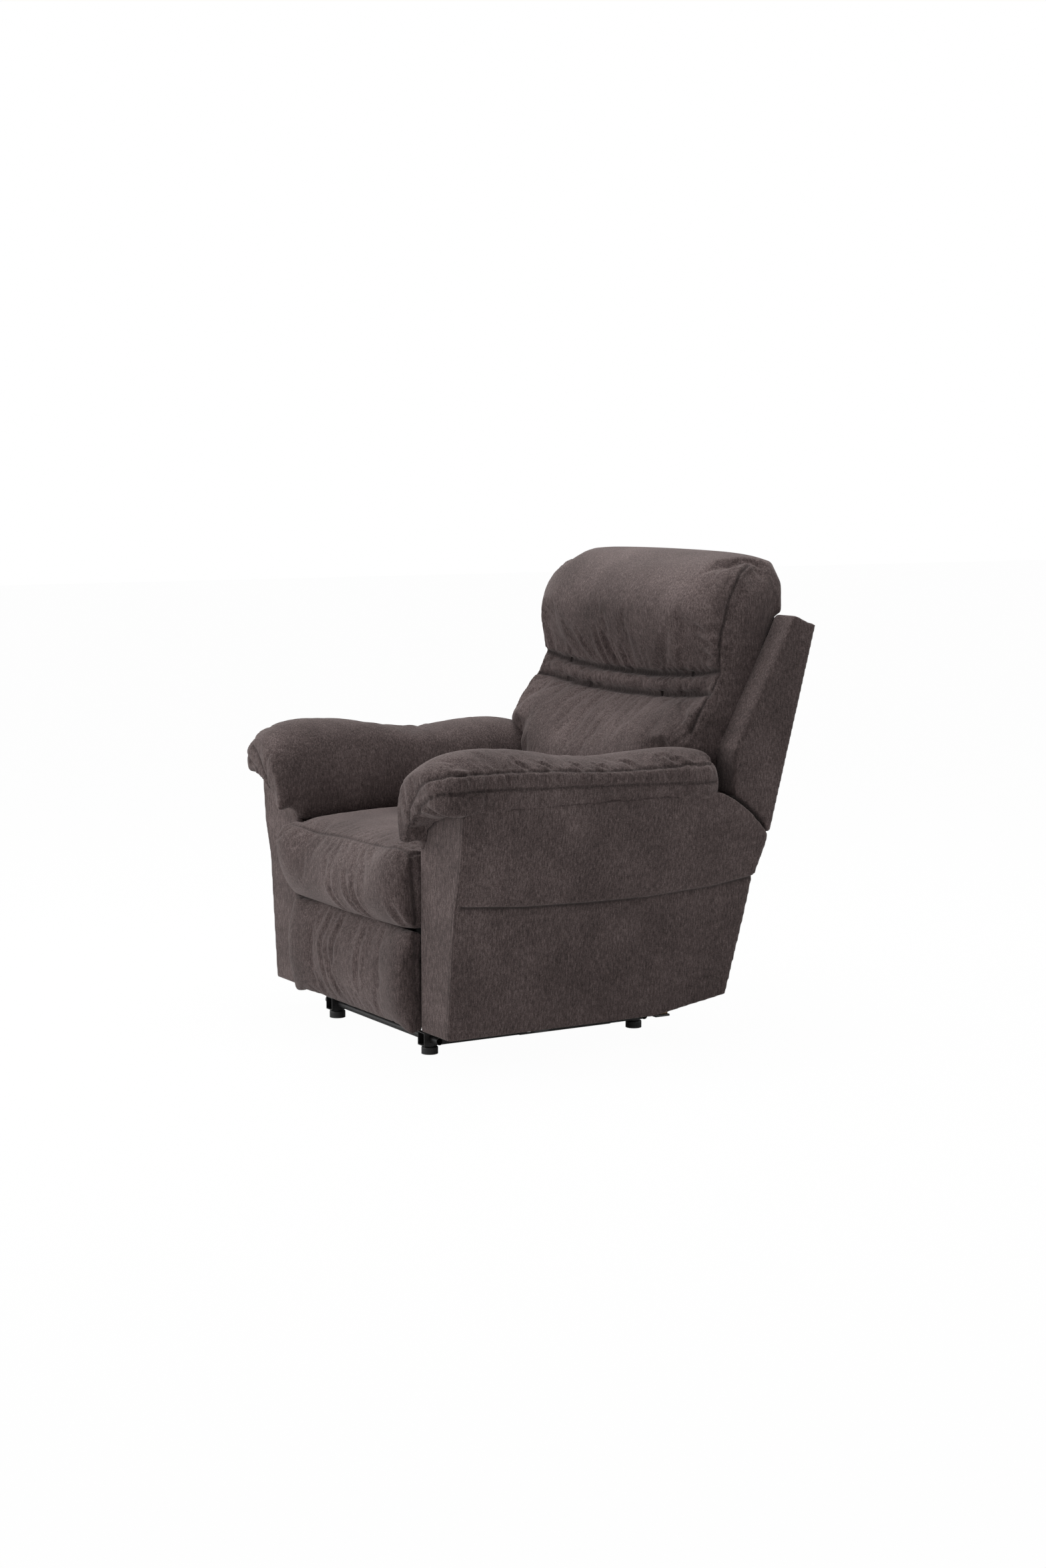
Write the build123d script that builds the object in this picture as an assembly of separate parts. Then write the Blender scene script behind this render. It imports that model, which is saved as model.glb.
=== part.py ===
from build123d import *
import os
from math import atan2, cos, degrees, radians, sin, sqrt, tan

# Recliner armchair, millimetres. X runs across the chair, with +X on the sitter's left,
# -Y is the front and +Z is up. The origin is on the floor under the middle of the chair.

# Driving dimensions, seat
SEAT_HALF_WIDTH = 264.0
SEAT_SEAM_Y = -421.0
SEAT_SEAM_Z = 427.0
SEAT_ROLL = 40.0
SEAT_ROLL_BOTTOM = 272.0
SEAT_CROWN = 16.0
SEAT_REAR_Y = 160.0
SEAT_REAR_DROP = 22.0
SEAT_EDGE_FALL = 10.0
SEAT_SLACK = 0.35
SEAT_RAIL_HEIGHT = 30.0
SEAT_RAIL_DEPTH = 25.0

# Driving dimensions, arms
SEAT_ARM_GAP = 10.0
ARM_FRONT_Y = -402.0
ARM_BOTTOM_Z = 63.0
ARM_TOP_Z = 525.0
ARM_FOOT_WIDTH = 116.0
ARM_WAIST_WIDTH = 143.0
ARM_WAIST_Z = 333.0
ARM_HIP_WIDTH = 167.0
ARM_HIP_Z = 407.0
ARM_SHOULDER_WIDTH = 181.0
ARM_LAP = 6.0
ARM_SWEEP_Y = 90.0
ARM_REAR_FOOT_Y = 258.0
ARM_REAR_FOOT_Z = 92.0
ARM_ARC_RISE = 25.0
ARM_ARC_END_Z = 430.0
ARM_DRAPE = 18.0
PANEL_WALL = 14.0
BOARD_WALL = 12.0
PILLOW_RISE = 111.0
PILLOW_SHOULDER = 70.0
PILLOW_SLACK = 0.55
PILLOW_SWELL = 4.0
PILLOW_FRONT = 52.0
PILLOW_OVERHANG = 2.0
PILLOW_INNER_Z = 436.0
PILLOW_FRONT_Z = 446.0

# How full the pillows and cushions are, as pairs of a share of the length or half width and
# a share of the full swell
PILLOW_BODY_STATIONS = [
    (0.0, 0.72),
    (0.10, 0.92),
    (0.22, 0.90),
    (0.42, 0.66),
    (0.62, 0.45),
    (0.82, 0.52),
    (0.94, 0.44),
    (1.0, 0.28),
]
PILLOW_FRONT_STATIONS = [(1.0, 0.06), (0.6, 0.38), (0.0, 0.72)]
SEAT_STATIONS = [(0.6, 0.95), (0.93, 0.6), (1.0, 0.0)]
LUMBAR_STATIONS = [(0.6, 0.99), (0.92, 0.94), (1.0, 0.80)]
BAND_STATIONS = [(0.55, 0.985), (0.80, 0.93), (0.93, 0.76), (1.0, 0.45)]
HEAD_STATIONS = [(0.55, 0.985), (0.80, 0.93), (0.93, 0.76), (1.0, 0.45)]
FOOTREST_STATIONS = [(0.7, 0.95), (0.94, 0.7), (1.0, 0.15)]

# Driving dimensions, back
BACK_FOOT_GAP = 22.1
BACK_FOOT_Z = 444.0
BACK_LEAN = 14.7
BACK_INSET = 25.0
BACK_WING_TOP = 428.0
BACK_PANEL_WALL = 15.0
BACK_RAIL_WALL = 30.0
BACK_RAIL_HEIGHT = 40.0
BACK_STILE_WALL = 35.0
BACK_STILE_WIDTH = 28.0
BACK_STILE_FOOT = 110.0
BACK_SKIRT = 188.0
BACK_GAP = 12.0
WING_WIDTH = 70.0
WING_TOP_DEPTH = 58.0
WING_PILLOW_GAP = 45.0
WING_MID_Z = 606.0
WEB_WALL = 2.0
WEB_WIDTH = 50.0
WEB_COUNT = 5
LUMBAR_INSET = 2.0
LUMBAR_FOOT = 62.0
LUMBAR_DEPTH = 236.0
LUMBAR_FOOT_DEPTH = 205.0
LUMBAR_SAG = 8.0
SHOULDER_SLACK = 0.8
LUMBAR_SHOULDER_FOOT = 140.0
LUMBAR_SHOULDER_DEPTH = 200.0
LUMBAR_SHOULDER_EDGE = 150.0
CHANNEL_DEPTH = 164.0
BAND_FOOT = 220.0
BAND_HEIGHT = 46.0
BAND_DEPTH = 188.0
BAND_BOW = 24.0
HEAD_WING_GAP = 10.0
HEAD_TOP = 538.0
HEAD_DEPTH = 222.0
HEAD_CORNER = 62.0
HEAD_ROUND = 15.0

# Driving dimensions, base and mechanism
FOOT_INSET = 43.0
FOOT_FRONT_Y = -344.0
FOOT_REAR_Y = 150.0
FOOT_RADIUS = 17.0
FOOT_PAD_HEIGHT = 15.0
FOOT_PAD_ROUND = 2.5
FOOT_STEM_RADIUS = 11.0
RAIL_BOTTOM_Z = 18.0
RAIL_SIZE = 28.0
RAIL_WALL = 2.0
RAIL_OVERHANG = 20.0
CROSS_TUBE_RADIUS = 8.0
CROSS_TUBE_OVERHANG = 28.0
TUBE_WALL = 1.5
PLATE_INSET = 14.0
PLATE_WALL = 3.0
PLATE_MARGIN = 15.0
LINK_WALL = 4.0
LINK_WIDTH = 18.0
LAYER_GAP = 1.0
RIVET_RADIUS = 4.0
RIVET_HEAD_RADIUS = 7.0
RIVET_HEAD_HEIGHT = 2.0
BRACKET_FRONT_Y = -185.0
BRACKET_REAR_Y = 106.0
BRACKET_WIDTH = 34.0
BRACKET_WALL = 4.0
BRACKET_REACH = 80.0
BOLT_RADIUS = 4.0
BOLT_HEAD_RADIUS = 7.0
BOLT_HEAD_HEIGHT = 5.0
TRACK_Z = 205.0
TRACK_HEIGHT = 40.0
TRACK_WALL = 3.0
GLIDE_BLOCK_LENGTH = 50.0
GLIDE_BLOCK_FRONT_Y = -70.0
GLIDE_BLOCK_REAR_Y = 55.0
SEAT_GLIDE = 40.0
RECLINE_ANGLE = 32.0
RECLINE_POLE_Y = 80.0
RECLINE_POLE_Z = 236.0
REAR_PANEL_TOP_Z = 194.0

# Driving dimensions, footrest
FOOTREST_BOTTOM_Z = 67.0
FOOTREST_TOP_Z = 262.0
FOOTREST_BACK_Y = -387.0
FOOTREST_BOARD_WALL = 15.0
FOOTREST_CROWN = 30.0
FOOTREST_EDGE = 5.0
FOOTREST_BOARD_MARGIN = 4.0
FOOTREST_PIVOT_SETBACK = 12.0
FOOTREST_PIVOT_Z = 205.0
CARRY_LENGTH = 150.0
CARRY_ANGLE = 140.0
CARRY_TAIL = 55.0
SWING_LENGTH = 155.0
SWING_ANGLE = -70.0
CRANK_LENGTH = 36.0
CRANK_ANGLE = -82.0
TORQUE_TUBE_REACH = 100.0
TORQUE_TUBE_RADIUS = 8.0

# Driving dimensions, release
RELEASE_Y = -100.0
RELEASE_LENGTH = 96.0
RELEASE_HEIGHT = 46.0
RELEASE_DEPTH = 24.0
RELEASE_FLANGE = 6.0
RELEASE_FLANGE_WALL = 2.0
RELEASE_WALL = 2.5
PADDLE_LENGTH = 69.0
PADDLE_WALL = 6.0
PADDLE_KNUCKLE_RADIUS = 4.0
PADDLE_PIN_RADIUS = 2.0
CABLE_RADIUS = 2.5
CABLE_INSET = 46.0
CABLE_EXIT_Z = 110.0
CABLE_BEND = 40.0

# Springs under the seat
SPRING_COUNT = 5
SPRING_PITCH = 84.0
SPRING_WIRE_RADIUS = 1.75
SPRING_AMPLITUDE = 22.0
SPRING_STEP = 26.0
SPRING_BEND = 9.0
CLIP_LENGTH = 14.0
CLIP_WIDTH = 12.0
CLIP_WALL = 1.5

# Clearances
SOFT_GAP = 0.3
RUN_GAP = 0.05
SIDE_GAP = 0.2

# Values that follow from the driving dimensions
ARM_INNER_X = SEAT_HALF_WIDTH + SEAT_ARM_GAP
ARM_FOOT_X = ARM_INNER_X + ARM_FOOT_WIDTH
ARM_WAIST_X = ARM_INNER_X + ARM_WAIST_WIDTH
ARM_HIP_X = ARM_INNER_X + ARM_HIP_WIDTH
ARM_SHOULDER_X = ARM_INNER_X + ARM_SHOULDER_WIDTH
BACK_HALF_WIDTH = ARM_SHOULDER_X - BACK_INSET
LUMBAR_HALF_WIDTH = SEAT_HALF_WIDTH - LUMBAR_INSET
FOOTREST_HALF_WIDTH = SEAT_HALF_WIDTH
PLATE_X = SEAT_HALF_WIDTH - PLATE_INSET
FOOT_X = PLATE_X - FOOT_INSET
ARM_ARC_RADIUS = ARM_TOP_Z - RECLINE_POLE_Z + ARM_ARC_RISE
ARM_TOP_REAR_Y = RECLINE_POLE_Y + sqrt(ARM_ARC_RADIUS**2 - (ARM_TOP_Z - RECLINE_POLE_Z) ** 2)
PILLOW_REAR_Y = ARM_TOP_REAR_Y + PILLOW_OVERHANG
BACK_FOOT_REACH = (ARM_ARC_RADIUS + BACK_FOOT_GAP) ** 2 - (BACK_FOOT_Z - RECLINE_POLE_Z) ** 2
BACK_FOOT_Y = RECLINE_POLE_Y + sqrt(BACK_FOOT_REACH)
WING_MID_Y = PILLOW_REAR_Y + WING_PILLOW_GAP
INNER_BOARD_X = ARM_INNER_X + ARM_DRAPE
ARM_CORE_X = INNER_BOARD_X + BOARD_WALL
ARM_CORE_FRONT_Y = ARM_FRONT_Y + PANEL_WALL
ARM_ARC_END_Y = RECLINE_POLE_Y + sqrt(ARM_ARC_RADIUS**2 - (ARM_ARC_END_Z - RECLINE_POLE_Z) ** 2)
RAIL_TOP_Z = RAIL_BOTTOM_Z + RAIL_SIZE
RAIL_IN_X = FOOT_X - RAIL_SIZE / 2
RAIL_OUT_X = FOOT_X + RAIL_SIZE / 2
CROSS_TUBE_Z = RAIL_BOTTOM_Z + RAIL_SIZE / 2
UPRIGHT_X = RAIL_OUT_X
TRACK_X = UPRIGHT_X + BRACKET_WALL
STILE_OUT_X = PLATE_X + PLATE_WALL + LAYER_GAP
STILE_IN_X = STILE_OUT_X - BACK_STILE_WIDTH
STILE_BACK = BACK_PANEL_WALL + BACK_RAIL_WALL
STILE_FRONT = STILE_BACK + BACK_STILE_WALL
CUSHION_BACK = STILE_FRONT + WEB_WALL + SOFT_GAP
WING_IN_X = BACK_HALF_WIDTH - WING_WIDTH
HEAD_HALF_WIDTH = WING_IN_X - HEAD_WING_GAP
CABLE_DROP_X = ARM_CORE_X + CABLE_INSET
HINGE_Y = RECLINE_POLE_Y
HINGE_Z = RECLINE_POLE_Z - SEAT_GLIDE / radians(RECLINE_ANGLE)
LINK_OUTER_X = PLATE_X - LAYER_GAP
LINK_MIDDLE_X = LINK_OUTER_X - LINK_WALL - LAYER_GAP
LINK_INNER_X = LINK_MIDDLE_X - LINK_WALL - LAYER_GAP
FOOTREST_FRONT_Y = FOOTREST_BACK_Y - FOOTREST_BOARD_WALL


def polar(start, length, angle):
    """Point in the side view at a length and an angle from a start point."""
    return (start[0] + length * cos(radians(angle)), start[1] + length * sin(radians(angle)))


# Footrest pivots in the side view: two parallelograms a side share the carry link
BOARD_PIVOT = (FOOTREST_BACK_Y + FOOTREST_PIVOT_SETBACK, FOOTREST_PIVOT_Z)
CARRY_PIVOT = polar(BOARD_PIVOT, -CARRY_LENGTH, CARRY_ANGLE)
SWING_PIVOT = polar(CARRY_PIVOT, -SWING_LENGTH, SWING_ANGLE)
CARRY_TAIL_PIVOT = polar(CARRY_PIVOT, -CARRY_TAIL, CARRY_ANGLE)
GUIDE_PIVOT = polar(SWING_PIVOT, -CARRY_TAIL, CARRY_ANGLE)
CRANK_PIVOT = polar(CARRY_PIVOT, CRANK_LENGTH, CRANK_ANGLE)
TILT_PIVOT = polar(BOARD_PIVOT, CRANK_LENGTH, CRANK_ANGLE)
TORQUE_POINT = polar(SWING_PIVOT, TORQUE_TUBE_REACH, SWING_ANGLE)
HINGE_PIVOT = (HINGE_Y, HINGE_Z)
PLATE_TOP_Z = SWING_PIVOT[1] + PLATE_MARGIN
SEAT_RAIL_TOP_Z = PLATE_TOP_Z + SEAT_RAIL_HEIGHT
SEAT_RAIL_FRONT_Y = SWING_PIVOT[0] - PLATE_MARGIN - SEAT_RAIL_DEPTH / 2
SEAT_RAIL_REAR_Y = SEAT_REAR_Y - SEAT_RAIL_DEPTH / 2
SEAT_SIDE_RAIL_IN_X = PLATE_X - SEAT_RAIL_DEPTH
CLIP_TOP_Z = SEAT_RAIL_TOP_Z + 2 * SPRING_WIRE_RADIUS + 2 * RUN_GAP + CLIP_WALL
SEAT_BASE_Z = CLIP_TOP_Z + SOFT_GAP


def back_point(rise, depth):
    """Side view point on the leaning back: rise along it, depth forward of its rear face."""
    lean = radians(BACK_LEAN)
    y = BACK_FOOT_Y + rise * sin(lean) - depth * cos(lean)
    z = BACK_FOOT_Z + rise * cos(lean) + depth * sin(lean)
    return (y, z)


def block(x0, x1, y0, y1, z0, z1):
    """Box between two corners."""
    return Pos((x0 + x1) / 2, (y0 + y1) / 2, (z0 + z1) / 2) * Box(x1 - x0, y1 - y0, z1 - z0)


def side_prism(points, x0, x1):
    """Side view polygon carried across the chair from x0 to x1."""
    outline = make_face(Polyline(*points, close=True))
    return extrude(Plane.YZ.offset(x0) * outline, amount=x1 - x0)


def front_prism(points, y0, y1):
    """Front view polygon carried back from y0 to y1."""
    outline = make_face(Polyline(*points, close=True))
    plane = Plane(origin=(0, y0, 0), x_dir=(1, 0, 0), z_dir=(0, -1, 0))
    return extrude(plane * outline, amount=y0 - y1)


def back_block(x0, x1, rise0, rise1, depth0, depth1):
    """Box that leans with the back."""
    corners = [(rise0, depth0), (rise0, depth1), (rise1, depth1), (rise1, depth0)]
    return side_prism([back_point(*corner) for corner in corners], x0, x1)


def rod_x(point, radius, x0, x1):
    """Round bar across the chair through a side view point."""
    circle = Pos(*point) * Circle(radius)
    return extrude(Plane.YZ.offset(x0) * circle, amount=x1 - x0)


def rod_z(x, y, radius, z0, z1):
    """Upright round bar."""
    return Pos(x, y, (z0 + z1) / 2) * Cylinder(radius, z1 - z0)


def solids_of(shapes):
    """One group out of several shapes, each kept as its own solid."""
    found = []
    for shape in shapes:
        found.extend(shape.solids())
    return Compound(found)


def both_sides(shapes):
    """Left pieces with their mirror images on the right."""
    shapes = list(shapes)
    return solids_of(shapes + [mirror(shape, about=Plane.YZ) for shape in shapes])


def cushion(face, half_width, stations):
    """Crowned cushion lofted across the chair."""
    shares = [(-share, plump) for share, plump in stations[::-1]] + [(0.0, 1.0)] + stations
    return loft([face(half_width * share, plump) for share, plump in shares])


def save(name, shape):
    export_step(shape, os.path.join("parts", name + ".step"))


def save_pair(name, shape):
    """A left piece and its mirror image as two nodes."""
    save("left_" + name, shape)
    save("right_" + name, mirror(shape, about=Plane.YZ))


os.makedirs("parts", exist_ok=True)


# Steel base: two square rails on four glide feet, joined by two round cross tubes
def base_rail():
    """Square tube with a hole across it for each cross tube."""
    front = FOOT_FRONT_Y - RAIL_OVERHANG
    rear = FOOT_REAR_Y + RAIL_OVERHANG
    rail = block(RAIL_IN_X, RAIL_OUT_X, front, rear, RAIL_BOTTOM_Z, RAIL_TOP_Z)
    rail -= block(
        RAIL_IN_X + RAIL_WALL,
        RAIL_OUT_X - RAIL_WALL,
        front,
        rear,
        RAIL_BOTTOM_Z + RAIL_WALL,
        RAIL_TOP_Z - RAIL_WALL,
    )
    for y in (FOOT_FRONT_Y, FOOT_REAR_Y):
        rail -= rod_x((y, CROSS_TUBE_Z), CROSS_TUBE_RADIUS + RUN_GAP, RAIL_IN_X, RAIL_OUT_X)
    return rail


def cross_tube(y):
    """Round tube through both rails."""
    reach = RAIL_OUT_X + CROSS_TUBE_OVERHANG
    tube = rod_x((y, CROSS_TUBE_Z), CROSS_TUBE_RADIUS, -reach, reach)
    return tube - rod_x((y, CROSS_TUBE_Z), CROSS_TUBE_RADIUS - TUBE_WALL, -reach, reach)


def glide_foot(x, y):
    """Round plastic glide on its stem."""
    pad = rod_z(x, y, FOOT_RADIUS, 0, FOOT_PAD_HEIGHT)
    pad = fillet(pad.edges().sort_by(Axis.Z)[-1], FOOT_PAD_ROUND)
    return pad + rod_z(x, y, FOOT_STEM_RADIUS, FOOT_PAD_HEIGHT, RAIL_BOTTOM_Z)


save_pair("base_rail", base_rail())
save("cross_tubes", solids_of(cross_tube(y) for y in (FOOT_FRONT_Y, FOOT_REAR_Y)))
save("glide_feet", both_sides(glide_foot(FOOT_X, y) for y in (FOOT_FRONT_Y, FOOT_REAR_Y)))


# Tracks on uprights, in which the seat's glide blocks run
TRACK_FRONT_Y = GLIDE_BLOCK_FRONT_Y - GLIDE_BLOCK_LENGTH / 2 - SEAT_GLIDE - RIVET_HEAD_RADIUS
TRACK_REAR_Y = GLIDE_BLOCK_REAR_Y + GLIDE_BLOCK_LENGTH / 2
TRACK_TOP_Z = TRACK_Z + TRACK_HEIGHT / 2
TRACK_BOTTOM_Z = TRACK_Z - TRACK_HEIGHT / 2
TRACK_LIP_X = PLATE_X - LAYER_GAP - RIVET_HEAD_HEIGHT


def track():
    """Channel that is open towards the seat's side plate."""
    channel = block(TRACK_X, TRACK_LIP_X, TRACK_FRONT_Y, TRACK_REAR_Y, TRACK_BOTTOM_Z, TRACK_TOP_Z)
    return channel - block(
        TRACK_X + TRACK_WALL,
        TRACK_LIP_X,
        TRACK_FRONT_Y,
        TRACK_REAR_Y,
        TRACK_BOTTOM_Z + TRACK_WALL,
        TRACK_TOP_Z - TRACK_WALL,
    )


upright = block(UPRIGHT_X, TRACK_X, TRACK_FRONT_Y, TRACK_REAR_Y, RAIL_BOTTOM_Z, TRACK_TOP_Z)
save("track_uprights", both_sides([upright]))
save("tracks", both_sides([track()]))


# Arm frames and covers: one outline from the front, one from the side
def arm_outline(inset, lap=0.0):
    """Outer face of the arm from the front, drawn in by an inset, stepped out by a lap."""
    return [
        (ARM_FOOT_X - inset, ARM_BOTTOM_Z),
        (ARM_WAIST_X - inset + lap, ARM_WAIST_Z),
        (ARM_HIP_X - inset, ARM_HIP_Z),
        (ARM_SHOULDER_X - inset, ARM_TOP_Z),
    ]


def arm_side(front_y, inset):
    """Side view of the arm as a solid slab, with the round rear that clears the back."""
    radius = ARM_ARC_RADIUS - inset
    top = ARM_TOP_Z - inset
    start_y = RECLINE_POLE_Y + sqrt(radius**2 - (top - RECLINE_POLE_Z) ** 2)
    end_y = RECLINE_POLE_Y + sqrt(radius**2 - (ARM_ARC_END_Z - RECLINE_POLE_Z) ** 2)
    start_angle = degrees(atan2(top - RECLINE_POLE_Z, start_y - RECLINE_POLE_Y))
    end_angle = degrees(atan2(ARM_ARC_END_Z - RECLINE_POLE_Z, end_y - RECLINE_POLE_Y))
    middle = polar((RECLINE_POLE_Y, RECLINE_POLE_Z), radius, (start_angle + end_angle) / 2)
    corners = [
        (end_y, ARM_ARC_END_Z),
        (ARM_REAR_FOOT_Y - inset, ARM_REAR_FOOT_Z),
        (ARM_SWEEP_Y, ARM_BOTTOM_Z),
        (front_y, ARM_BOTTOM_Z),
        (front_y, top),
        (start_y, top),
    ]
    outline = [Line(a, b) for a, b in zip(corners, corners[1:])]
    outline.append(ThreePointArc(corners[-1], middle, corners[0]))
    reach = ARM_SHOULDER_X + PANEL_WALL
    return extrude(Plane.YZ * make_face(outline), amount=reach)


def arm_shell(lap, z0, z1):
    """Slice of the arm's padded outer wall between two heights."""
    reach = (ARM_REAR_FOOT_Y - ARM_FRONT_Y) * 2
    outer = arm_outline(0, lap)
    inner = arm_outline(PANEL_WALL)
    wall = front_prism(outer + inner[::-1], -reach, reach)
    wall &= block(0, reach, -reach, reach, z0, z1)
    return wall & arm_side(ARM_CORE_FRONT_Y, 0)


def arm_core_slab(x_inset):
    """Space between the inner board and the outer covers, as seen from the front."""
    reach = (ARM_REAR_FOOT_Y - ARM_FRONT_Y) * 2
    outer = arm_outline(x_inset)
    return front_prism(outer + [(ARM_CORE_X, ARM_TOP_Z), (ARM_CORE_X, ARM_BOTTOM_Z)], -reach, reach)


board_slab = block(
    INNER_BOARD_X, ARM_CORE_X, ARM_CORE_FRONT_Y, ARM_ARC_END_Y, ARM_BOTTOM_Z, ARM_TOP_Z
)
inner_board = board_slab & arm_side(ARM_CORE_FRONT_Y, BOARD_WALL)
cable_hole = rod_x((RELEASE_Y, CABLE_EXIT_Z), CABLE_RADIUS + SOFT_GAP, INNER_BOARD_X, ARM_CORE_X)
save("left_arm_inner_board", inner_board)
save("right_arm_inner_board", mirror(inner_board - cable_hole, about=Plane.YZ))

lower_panel = arm_shell(0, ARM_BOTTOM_Z, ARM_WAIST_Z)
upper_panel = arm_shell(ARM_LAP, ARM_WAIST_Z, ARM_TOP_Z)
save_pair("arm_lower_panel", lower_panel)

top_strip = arm_side(ARM_CORE_FRONT_Y, 0) - arm_side(ARM_CORE_FRONT_Y - PANEL_WALL, BOARD_WALL)
top_strip &= arm_core_slab(PANEL_WALL) + board_slab
top_strip &= block(INNER_BOARD_X, ARM_SHOULDER_X, ARM_FRONT_Y, ARM_ARC_END_Y, ARM_REAR_FOOT_Z, ARM_TOP_Z)
save_pair("arm_top_board", top_strip)

base_board = arm_core_slab(PANEL_WALL) & block(
    ARM_CORE_X,
    ARM_SHOULDER_X,
    ARM_CORE_FRONT_Y,
    BRACKET_REAR_Y + BRACKET_WIDTH / 2,
    ARM_BOTTOM_Z,
    ARM_BOTTOM_Z + BOARD_WALL,
)
BOLT_X = ARM_CORE_X + BRACKET_REACH / 2
BOLT_STATIONS = [
    y + side * BRACKET_WIDTH / 4 for y in (BRACKET_FRONT_Y, BRACKET_REAR_Y) for side in (-1, 1)
]
for bolt_y in BOLT_STATIONS:
    base_board -= rod_z(BOLT_X, bolt_y, BOLT_RADIUS + RUN_GAP, ARM_BOTTOM_Z, ARM_BOTTOM_Z + BOARD_WALL)
save_pair("arm_base_board", base_board)

# The front panel is cut low at its inner corner, where the pillow hangs over it
front_outline = [
    (ARM_INNER_X, ARM_BOTTOM_Z),
    *arm_outline(0),
    (INNER_BOARD_X, ARM_TOP_Z),
    (INNER_BOARD_X, PILLOW_INNER_Z - SOFT_GAP),
    (ARM_INNER_X, PILLOW_INNER_Z - SOFT_GAP),
]
save_pair("arm_front_panel", front_prism(front_outline, ARM_FRONT_Y, ARM_CORE_FRONT_Y))


# Arm brackets: stepped bars from the rails to the arms' base boards, with their bolts
def arm_bracket(y):
    low = RAIL_TOP_Z
    high = ARM_BOTTOM_Z
    step = RAIL_OUT_X + BRACKET_WALL
    end = ARM_CORE_X + BRACKET_REACH
    profile = [
        (RAIL_IN_X, low),
        (step, low),
        (step, high - BRACKET_WALL),
        (end, high - BRACKET_WALL),
        (end, high),
        (step - BRACKET_WALL, high),
        (step - BRACKET_WALL, low + BRACKET_WALL),
        (RAIL_IN_X, low + BRACKET_WALL),
    ]
    bar = front_prism(profile, y - BRACKET_WIDTH / 2, y + BRACKET_WIDTH / 2)
    for side in (-1, 1):
        bolt_y = y + side * BRACKET_WIDTH / 4
        bar -= rod_z(BOLT_X, bolt_y, BOLT_RADIUS + RUN_GAP, high - BRACKET_WALL, high)
    return bar


def arm_bolt(y):
    under = ARM_BOTTOM_Z - BRACKET_WALL
    shank = rod_z(BOLT_X, y, BOLT_RADIUS, under, ARM_BOTTOM_Z + BOARD_WALL)
    return shank + rod_z(BOLT_X, y, BOLT_HEAD_RADIUS, under - BOLT_HEAD_HEIGHT, under)


save("arm_brackets", both_sides(arm_bracket(y) for y in (BRACKET_FRONT_Y, BRACKET_REAR_Y)))
save("arm_bolts", both_sides(arm_bolt(y) for y in BOLT_STATIONS))


# Rear panel between the arms, under the back
def rear_edge_y(z):
    """Rear edge of the arms at a height."""
    share = (z - ARM_REAR_FOOT_Z) / (ARM_ARC_END_Z - ARM_REAR_FOOT_Z)
    return ARM_REAR_FOOT_Y + share * (ARM_ARC_END_Y - ARM_REAR_FOOT_Y)


rear_low = ARM_REAR_FOOT_Z
rear_points = [
    (rear_edge_y(rear_low) - 2 * PANEL_WALL, rear_low),
    (rear_edge_y(rear_low) - PANEL_WALL, rear_low),
    (rear_edge_y(REAR_PANEL_TOP_Z) - PANEL_WALL, REAR_PANEL_TOP_Z),
    (rear_edge_y(REAR_PANEL_TOP_Z) - 2 * PANEL_WALL, REAR_PANEL_TOP_Z),
]
save("rear_panel", side_prism(rear_points, -INNER_BOARD_X, INNER_BOARD_X))


# Arm pillow: a stuffed saddle over the arm, hanging down inside and over the front
def pillow_face(y, plump, low_in, hollow):
    """Front view section of the pillow: plump is 0 to 1, hollow lists its underside."""
    top = ARM_TOP_Z + PILLOW_RISE * (PILLOW_SLACK + (1 - PILLOW_SLACK) * plump)
    shoulder = ARM_TOP_Z + PILLOW_SHOULDER * (PILLOW_SLACK + (1 - PILLOW_SLACK) * plump)
    swell = PILLOW_SWELL * plump
    left = (ARM_INNER_X, low_in)
    left_mid = (ARM_INNER_X - swell, (low_in + shoulder) / 2)
    left_top = (ARM_INNER_X + ARM_DRAPE, shoulder)
    crown = ((ARM_INNER_X + ARM_SHOULDER_X) / 2 + PILLOW_SWELL, top)
    right_top = (ARM_SHOULDER_X, shoulder)
    right_mid = (ARM_SHOULDER_X + swell, (ARM_TOP_Z + shoulder) / 2)
    right = (ARM_SHOULDER_X, ARM_TOP_Z + SOFT_GAP)
    edges = [
        ThreePointArc(left, left_mid, left_top),
        ThreePointArc(left_top, crown, right_top),
        ThreePointArc(right_top, right_mid, right),
    ]
    under = [right, *hollow, left]
    edges.extend(Line(a, b) for a, b in zip(under, under[1:]))
    plane = Plane(origin=(0, y, 0), x_dir=(1, 0, 0), z_dir=(0, -1, 0))
    return plane * make_face(edges)


def arm_pillow():
    """Body over the boards, joined to the front that hangs before the front panel."""
    drape_x = INNER_BOARD_X - SOFT_GAP
    over = [(drape_x, ARM_TOP_Z + SOFT_GAP), (drape_x, PILLOW_INNER_Z)]
    join_y = ARM_FRONT_Y - SOFT_GAP
    length = PILLOW_REAR_Y - join_y
    sections = []
    for share, plump in PILLOW_BODY_STATIONS:
        sections.append(pillow_face(join_y + length * share, plump, PILLOW_INNER_Z, over))
    body = loft(sections)
    hang = [(ARM_WAIST_X, ARM_TOP_Z + PILLOW_SWELL), (INNER_BOARD_X, PILLOW_FRONT_Z)]
    sections = []
    for share, plump in PILLOW_FRONT_STATIONS:
        sections.append(pillow_face(join_y - PILLOW_FRONT * share, plump, PILLOW_FRONT_Z, hang))
    return body + loft(sections)


save_pair("arm_pillow", arm_pillow())


# Seat side plates, with the swing and guide pivots, the back hinge and the glide blocks
PIVOT_HOLE = RIVET_RADIUS + RUN_GAP


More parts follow.
